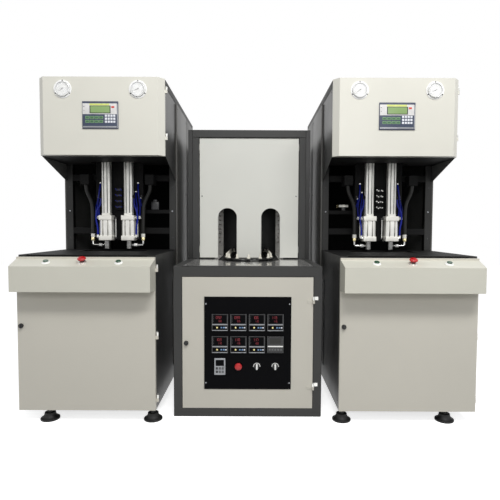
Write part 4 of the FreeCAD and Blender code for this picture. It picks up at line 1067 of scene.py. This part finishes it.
def digits(text, height):
    """Seven-segment figures, each stroke a thin rounded bar, written from the left."""
    figures = {"0": "abcdef", "1": "bc", "2": "abged", "3": "abgcd", "4": "fgbc", "5": "afgcd", "6": "afgedc",
               "7": "abc", "8": "abcdefg", "9": "abcdfg"}
    strokes = {"a": (0, 1, 1, 1), "b": (1, 0.5, 1, 1), "c": (1, 0, 1, 0.5), "d": (0, 0, 1, 0),
               "e": (0, 0, 0, 0.5), "f": (0, 0.5, 0, 1), "g": (0, 0.5, 1, 0.5)}
    width, thick, made = height * 0.5, height * 0.11, []
    for place, figure in enumerate(text):
        left = place * height * 0.78
        for x0, y0, x1, y1 in (strokes[stroke] for stroke in figures[figure]):
            made.append(slab((left + x0 * width - thick / 2, y0 * height - thick / 2, 0),
                             (left + x1 * width + thick / 2, y1 * height + thick / 2, 0.3), 0.12, 1))
    return joined(made)


def build_regulators():
    """Two rows of four regulators: seven with figures, a lamp and keys, and the last with a dark window and keys."""
    low, high = mm("temperature_regulators")
    face = mm("control_panel")[0][1]
    parts = Parts()
    w, h = 42.0, 44.0
    lamp = turned([(0, 5.7), (4.4, 5.7), (4.4, 6.6), (3.6, 7.1), (0, 7.2)], 20).placed((-14.5, -27.5, 0))
    for row in range(2):
        for column in range(4):
            x = low[0] + w + column * (high[0] - low[0] - 2 * w) / 3
            z = high[2] - h - row * (high[2] - low[2] - 2 * h)
            at = (x, face, z)
            last = row == 1 and column == 3
            parts.add_blocks(at, (
                ("instrument_grey", -w, -w + 2.0, -h, h, 0, 8.0, 0.5),
                ("instrument_grey", w - 2.0, w, -h, h, 0, 8.0, 0.5),
                ("instrument", -w + 2, w - 2, h - 2.2, h, 0, 7.6, 0.5),
                ("instrument" if last else "bezel_silver", -w + 1.5, w - 1.5, -h, -h + 3.0, 0, 8.0, 0.5),
                ("instrument", -w + 1, w - 1, -h + 1, h - 1, 0, 5.2, 0.3),
                ("instrument", -34, 34, -36, 36, -70, 0.2, 1.0)))
            if last:
                parts.add_blocks(at, (
                    ("instrument", -w + 4, w - 4, -4, h - 4, 5, 6.2, 0.5),
                    ("frame_dark", -w + 12, w - 12, 4, h - 10, 6, 6.6, 0.5),
                    ("switch_white", -w + 2, w - 2, -13, -6, 5, 7.4, 0.8),
                    ("instrument", -w + 3, w - 3, -h + 5, -15, 5, 6.0, 0.5)))
                parts.add_blocks(at, [("instrument_grey", key - 5, key + 5, -31, -21, 5.8, 7.2, 0.6)
                                      for key in (-30, -15, 0, 15, 30)])
                continue
            parts.add_blocks(at, (
                ("bezel_silver", -w + 2, w - 2, -13.5, -9.0, 5, 7.6, 0.6),
                ("panel_black", -w + 6, w - 6, -6, h - 5, 5, 5.8, 0.3),
                ("panel_black", -w + 4, w - 4, -h + 6, -17, 5, 5.9, 0.3)))
            parts.add_blocks(at, [(finish, key - 4, key + 4, -31, -24, 5.7, 7.0, 0.8)
                                  for key, finish in ((8, "key_blue"), (21, "key_blue"), (32, "key_white"))])
            parts.add("dot_yellow", lamp, at, FRONT)
            value, target = str(92 + 7 * column + 11 * row).zfill(3), str(100 + 5 * column + 10 * row)
            parts.add("digit_red", digits(value, 13.0).placed((-20, 19, 5.7)), at, FRONT)
            parts.add("digit_red", digits(target, 9.0).placed((-10, 2, 5.7)), at, FRONT)
            parts.add_blocks(at, [("instrument_grey", -w + 8, -w + 11, mark, mark + 2, 5.6, 6.2, 0.3)
                                  for mark in (4, 12, 20, 28)])
    piece("regulator_fronts", parts, "heater_door_body", ["temperature_regulators"])


def printed_arc(radius, start, end):
    """A flat printed arc: the points (r cos a, r sin a) for angles from start to end, widened along the radius and
    given a little thickness."""
    a = np.radians(np.linspace(start, end, 29))
    outward = np.stack([np.cos(a), np.sin(a), np.zeros(len(a))], -1)[:, None]
    section = np.array([(1.6, -0.15), (1.6, 0.15), (-1.6, 0.15), (-1.6, -0.15)])
    return lofted(radius * outward + (0, 0, 0.1) + outward * section[:, :1] + section[:, 1:] * np.array(UP))


def build_heater_controls():
    """The heater door's speed regulator, stop button, two turn switches, and the marks and screws round them."""
    face = mm("control_panel")[0][1]
    door = "heater_door_body"

    def spot(node):
        """The middle of a control, on the panel's face."""
        x, _, z = middle(node)
        return x, face, z

    parts = Parts()
    parts.add_blocks(spot("speed_regulator"), [
        ("bezel_silver", -29, 29, -44, 44, 0, 8.6, 2.0), ("instrument", -22, 22, -36, 36, -60, 0.2, 1.0),
        ("panel_black", -22, 22, 4, 36, 8, 9.3, 0.5)] + [
        ("instrument_grey" if x > -15.5 else "instrument", x - 6, x + 6, z - 6.5, z + 6.5, 8, 9.9, 0.6)
        for z in (-9.0, -27.0) for x in (-15.5, 0.0, 15.5)])
    piece("speed_regulator_front", parts, door, ["speed_regulator"])

    at, parts, fixed = spot("heater_stop_button"), Parts(), Parts()
    cap = [(0, 6), (17.6, 6), (19, 7.2), (19, 9.0), (18, 11.0), (15.8, 11.6), (14.6, 13.6), (12.0, 14.8), (0, 15)]
    parts.add("button_red", turned(cap, 40), at, FRONT)
    parts.add("knob_black", rod(7.9, -20, 6, 24), at, FRONT)
    piece("heater_stop_cap", parts, "heater_stop_button_body", ["heater_stop_button"])
    fixed.add("knob_black", ring_shape(8.3, 15.5, 0, 1.7, 36), at, FRONT)

    base = turned([(0, 1.2), (13.6, 1.2), (14.5, 2.0), (14.5, 6.0), (13.4, 6.9), (0, 6.9)], 32)
    for name in ("power_switch", "lamp_switch"):
        at, parts = spot(name), Parts()
        x, y, z = at
        parts.add("knob_black", base, at, FRONT)
        parts.add("knob_black", rod(7.9, -20, 1.2, 24), at, FRONT)
        parts.add("switch_white", slab((x - 4.6, y - 18.9, z - 13.9), (x + 4.6, y - 6.0, z + 13.9), 2.4, 3))
        piece(name + "_knob", parts, name + "_body", [name])
        fixed.add("switch_white", printed_arc(17.0, -8, 188), at, FRONT)
    low, high = mm("control_panel")
    for x in (low[0] + 9.0, high[0] - 9.0):
        for z in (low[2] + 34.0, high[2] - 38.0):
            fixed.add("bezel_silver", screw_head(3.9), (x, face, z), FRONT)
    piece("panel_marks_and_screws", fixed, door)


# ---- oven and conveyor

def build_oven(sizes):
    """Two racks of quartz lamps: a tube with necked ends, its filament and a ceramic block on each end."""
    low, high = mm("heating_lamps")
    radius = sizes.lamp_radius / MM
    rows, block = 8, 14.0
    start, end = low[1], high[1]
    long = end - start
    neck, wall = radius - 0.6, radius - 0.2
    tube = turned([(0, block), (neck, block), (wall, block + 4), (wall, long - block - 4), (neck, long - block),
                   (0, long - block)], 16)
    wire = rod(1.1, block, long - block, 8)
    parts = Parts()
    for x in (low[0] + radius, high[0] - radius):
        for row in range(rows):
            z = low[2] + radius + row * (high[2] - low[2] - 2 * radius) / (rows - 1)
            parts.add("lamp_glass", tube, (x, start, z), BACK)
            parts.add("filament", wire, (x, start, z), BACK)
            for y in (start, end - block):
                parts.add("ceramic", slab((x - 5.4, y, z - 5.0), (x + 5.4, y + block, z + 5.0), 1.2))
    piece("quartz_lamps", parts, "machine", ["heating_lamps"])


def build_mandrels():
    """One mandrel on every carrier of the chain; their places are read as the clusters of CAD points."""
    points = np.array([v.co for v in frame["nodes"]["mandrels"].data.vertices]) / MM
    low, tall = points[:, 2].min(), np.ptp(points[:, 2])
    left = points[np.abs(points[:, 2] - low) < 0.5][:, :2]
    # points nearer than this to each other belong to one mandrel
    cluster = 30.0
    peg = turned([(0, 0), (10.0, 0), (10.6, 0.8), (10.6, 6.6), (9.8, 7.6), (6.4, 8.2), (6.1, 10.0),
                  (6.1, tall - 5.0), (5.6, tall - 2.4), (4.4, tall - 0.6), (2.4, tall), (0, tall)], 20)
    parts = Parts()
    while len(left):
        near = np.linalg.norm(left - left[0], axis=1) < cluster
        x, y = (left[near].min(0) + left[near].max(0)) / 2
        left = left[~near]
        parts.add("mandrel_plastic", peg, (x, y, low))
    piece("preform_mandrels", parts, "machine", ["mandrels"])


# ---- floor, backdrop, lamps and camera

def seen_mix(tree, plain, seen):
    """The seen shader for camera, gloss and glass rays, and the plain one for the light that falls on things."""
    path = tree.nodes.new("ShaderNodeLightPath")
    factor = path.outputs["Is Camera Ray"]
    for ray in ("Is Glossy Ray", "Is Transmission Ray"):
        either = tree.nodes.new("ShaderNodeMath")
        either.operation = "MAXIMUM"
        tree.links.new(factor, either.inputs[0])
        tree.links.new(path.outputs[ray], either.inputs[1])
        factor = either.outputs[0]
    mix = tree.nodes.new("ShaderNodeMixShader")
    tree.links.new(factor, mix.inputs[0])
    tree.links.new(plain.outputs[0], mix.inputs[1])
    tree.links.new(seen.outputs[0], mix.inputs[2])
    return mix.outputs[0]


def placed_object(name, data, at=(0, 0, 0)):
    """A new object for the stage."""
    made = bpy.data.objects.new(name, data)
    bpy.context.scene.collection.objects.link(made)
    made.location = at
    return made


def build_floor():
    """A plain floor, pale to the camera and dim to the machine, as a hall floor is outside the lit set."""
    finish = Finish("floor_pale", Roughness=0.85, Emission_Color=(1, 1, 1, 1), Emission_Strength=0.75)
    cloud = finish.noise(0.6, 3.0)
    finish.drive("Base Color", finish.mixed(cloud, (0.86, 0.86, 0.85, 1), (0.9, 0.9, 0.89, 1)))
    dim = finish.tree.nodes.new("ShaderNodeBsdfDiffuse")
    dim.inputs["Color"].default_value = (0.3, 0.3, 0.3, 1)
    finish.tree.links.new(seen_mix(finish.tree, dim, finish.shader),
                          finish.tree.nodes["Material Output"].inputs["Surface"])
    mesh = bpy.data.meshes.new("floor")
    mesh.from_pydata([(-9, -7, 0), (9, -7, 0), (9, 9, 0), (-9, 9, 0)], [], [(0, 1, 2, 3)])
    floor = placed_object("floor", mesh)
    mesh.materials.append(finish.material)


def build_world():
    """A weak, slightly blue room light, which the camera, gloss and glass see as a white backdrop."""
    world = bpy.data.worlds.new("Studio")
    bpy.context.scene.world = world
    world.use_nodes = True
    tree = world.node_tree
    room, white = tree.nodes["Background"], tree.nodes.new("ShaderNodeBackground")
    for node, colour, strength in ((room, (0.95, 0.97, 1.0, 1.0), 0.26), (white, (1.0, 1.0, 1.0, 1.0), 1.0)):
        node.inputs["Color"].default_value = colour
        node.inputs["Strength"].default_value = strength
    tree.links.new(seen_mix(tree, room, white), tree.nodes["World Output"].inputs["Surface"])


def build_lamps(studio):
    """Four soft lamps: their places, what they aim at, their sizes and their powers."""
    aim = (0, 0, 1.1)
    for name, at, target, size, power in (
            ("Key lamp", (0.9, -3.2, 4.4), (0, -0.3, 1.1), (3.4, 0.6), studio.key_power),
            ("Front lamp", (0.3, -4.2, 2.2), aim, (2.6, 0.8), studio.front_power),
            ("Left lamp", (-4.2, -2.2, 2.2), aim, (2.0, 2.4), studio.fill_power),
            ("Right lamp", (4.2, -2.2, 2.2), aim, (2.0, 2.4), studio.fill_power)):
        light = bpy.data.lights.new(name, "AREA")
        light.shape = "RECTANGLE"
        light.size, light.size_y = size
        light.energy = power
        made = placed_object(name, light, at)
        made.rotation_euler = (Vector(target) - Vector(at)).to_track_quat("-Z", "Y").to_euler()


def build_camera(studio):
    """The camera in front of the station doors, a little above half height and tilted slightly down."""
    aside, tilt, roll, shift = 0.019, 2.75, -0.004, -0.0054
    lens = bpy.data.cameras.new("Camera")
    door = min(st.door_face for st in stations()) * MM
    camera = placed_object("Camera", lens, (aside, door - studio.stand_back, studio.height))
    camera.rotation_euler = (math.radians(90.0 - tilt), roll, 0.0)
    lens.lens = studio.lens
    lens.sensor_width = 36.0
    lens.shift_x = shift
    lens.clip_end = 60.0
    bpy.context.scene.camera = camera


# ---- operators and panel

class MachineStep:
    """Options that every step shares."""
    bl_options = {"REGISTER", "UNDO"}


class MACHINE_OT_finishes(MachineStep, bpy.types.Operator):
    """Paints, metals, plastics and glass of the machine"""
    bl_idname = "machine.finishes"
    bl_label = "Finishes"

    def execute(self, context):
        make_finishes(context.scene.machine_colours)
        return {"FINISHED"}


class MACHINE_OT_sheets(MachineStep, bpy.types.Operator):
    """Soft edges and finishes on the sheets, frames and plates"""
    bl_idname = "machine.sheets"
    bl_label = "Sheets and frames"

    def execute(self, context):
        build_sheets(context.scene.machine_sizes)
        return {"FINISHED"}


class MACHINE_OT_covers(MachineStep, bpy.types.Operator):
    """Side covers and top rails of the stations"""
    bl_idname = "machine.covers"
    bl_label = "Side covers"

    def execute(self, context):
        build_covers()
        return {"FINISHED"}


class MACHINE_OT_gauges(MachineStep, bpy.types.Operator):
    """Pressure gauges with dial, needle and glass"""
    bl_idname = "machine.gauges"
    bl_label = "Gauges"

    def execute(self, context):
        build_gauges()
        return {"FINISHED"}


class MACHINE_OT_controllers(MachineStep, bpy.types.Operator):
    """Operator panels with display and keys"""
    bl_idname = "machine.controllers"
    bl_label = "Controllers"

    def execute(self, context):
        build_controllers()
        return {"FINISHED"}


class MACHINE_OT_cylinders(MachineStep, bpy.types.Operator):
    """Stretch and seal cylinders"""
    bl_idname = "machine.cylinders"
    bl_label = "Cylinders"

    def execute(self, context):
        build_cylinders()
        return {"FINISHED"}


class MACHINE_OT_nozzles(MachineStep, bpy.types.Operator):
    """Blow nozzles with their elbows"""
    bl_idname = "machine.nozzles"
    bl_label = "Nozzles"

    def execute(self, context):
        build_nozzles()
        return {"FINISHED"}


class MACHINE_OT_hoses(MachineStep, bpy.types.Operator):
    """Blow hoses and air lines"""
    bl_idname = "machine.hoses"
    bl_label = "Hoses"

    def execute(self, context):
        build_hoses(context.scene.machine_sizes)
        return {"FINISHED"}


class MACHINE_OT_valves(MachineStep, bpy.types.Operator):
    """Valve blocks behind the cylinders"""
    bl_idname = "machine.valves"
    bl_label = "Valves"

    def execute(self, context):
        build_valves()
        return {"FINISHED"}


class MACHINE_OT_buttons(MachineStep, bpy.types.Operator):
    """Stop and start buttons with their collars"""
    bl_idname = "machine.buttons"
    bl_label = "Buttons"

    def execute(self, context):
        build_buttons()
        return {"FINISHED"}


class MACHINE_OT_locks(MachineStep, bpy.types.Operator):
    """Quarter-turn door locks"""
    bl_idname = "machine.locks"
    bl_label = "Locks"

    def execute(self, context):
        build_locks()
        return {"FINISHED"}


class MACHINE_OT_feet(MachineStep, bpy.types.Operator):
    """Levelling feet"""
    bl_idname = "machine.feet"
    bl_label = "Feet"

    def execute(self, context):
        build_feet()
        return {"FINISHED"}


class MACHINE_OT_fasteners(MachineStep, bpy.types.Operator):
    """Screws of the sheets"""
    bl_idname = "machine.fasteners"
    bl_label = "Fasteners"

    def execute(self, context):
        build_fasteners()
        return {"FINISHED"}


class MACHINE_OT_regulators(MachineStep, bpy.types.Operator):
    """Temperature regulators"""
    bl_idname = "machine.regulators"
    bl_label = "Regulators"

    def execute(self, context):
        build_regulators()
        return {"FINISHED"}


class MACHINE_OT_heater_controls(MachineStep, bpy.types.Operator):
    """Speed regulator, stop cap and switches"""
    bl_idname = "machine.heater_controls"
    bl_label = "Heater controls"

    def execute(self, context):
        build_heater_controls()
        return {"FINISHED"}


class MACHINE_OT_oven(MachineStep, bpy.types.Operator):
    """Quartz lamps"""
    bl_idname = "machine.oven"
    bl_label = "Oven"

    def execute(self, context):
        build_oven(context.scene.machine_sizes)
        return {"FINISHED"}


class MACHINE_OT_mandrels(MachineStep, bpy.types.Operator):
    """Preform mandrels on the chain"""
    bl_idname = "machine.mandrels"
    bl_label = "Mandrels"

    def execute(self, context):
        build_mandrels()
        return {"FINISHED"}


class MACHINE_OT_stage(MachineStep, bpy.types.Operator):
    """Floor, backdrop, lamps and camera"""
    bl_idname = "machine.stage"
    bl_label = "Stage"

    def execute(self, context):
        studio = context.scene.machine_studio
        context.scene.view_settings.view_transform = "Standard"
        build_floor()
        build_world()
        build_lamps(studio)
        build_camera(studio)
        return {"FINISHED"}


STEPS = (MACHINE_OT_finishes, MACHINE_OT_sheets, MACHINE_OT_covers, MACHINE_OT_gauges, MACHINE_OT_controllers,
         MACHINE_OT_cylinders, MACHINE_OT_nozzles, MACHINE_OT_hoses, MACHINE_OT_valves, MACHINE_OT_buttons,
         MACHINE_OT_locks, MACHINE_OT_feet, MACHINE_OT_fasteners, MACHINE_OT_regulators,
         MACHINE_OT_heater_controls, MACHINE_OT_oven, MACHINE_OT_mandrels, MACHINE_OT_stage)


class MACHINE_PT_panel(bpy.types.Panel):
    """Every step, size and colour of the machine"""
    bl_idname = "MACHINE_PT_panel"
    bl_label = "Blow moulding machine"
    bl_space_type = "VIEW_3D"
    bl_region_type = "UI"
    bl_category = "Machine"

    def draw(self, context):
        scene, layout = context.scene, self.layout
        for group in (scene.machine_sizes, scene.machine_colours, scene.machine_studio):
            for key in group.__annotations__:
                layout.prop(group, key)
        for cls in STEPS:
            layout.operator(cls.bl_idname)


GROUPS = {"machine_sizes": MachineSizes, "machine_colours": MachineColours, "machine_studio": MachineStudio}
CLASSES = (*GROUPS.values(), *STEPS, MACHINE_PT_panel)


def register():
    """Adds the classes to Blender and their settings to every scene."""
    for cls in CLASSES:
        bpy.utils.register_class(cls)
    for name, group in GROUPS.items():
        setattr(bpy.types.Scene, name, bpy.props.PointerProperty(type=group))


def unregister():
    """Takes the settings and the classes away again."""
    for name in GROUPS:
        delattr(bpy.types.Scene, name)
    for cls in reversed(CLASSES):
        bpy.utils.unregister_class(cls)


def main():
    """Registers the classes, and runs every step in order."""
    register()
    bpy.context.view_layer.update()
    for cls in STEPS:
        getattr(bpy.ops.machine, cls.bl_idname.split(".")[1])()


if __name__ == "__main__":
    main()
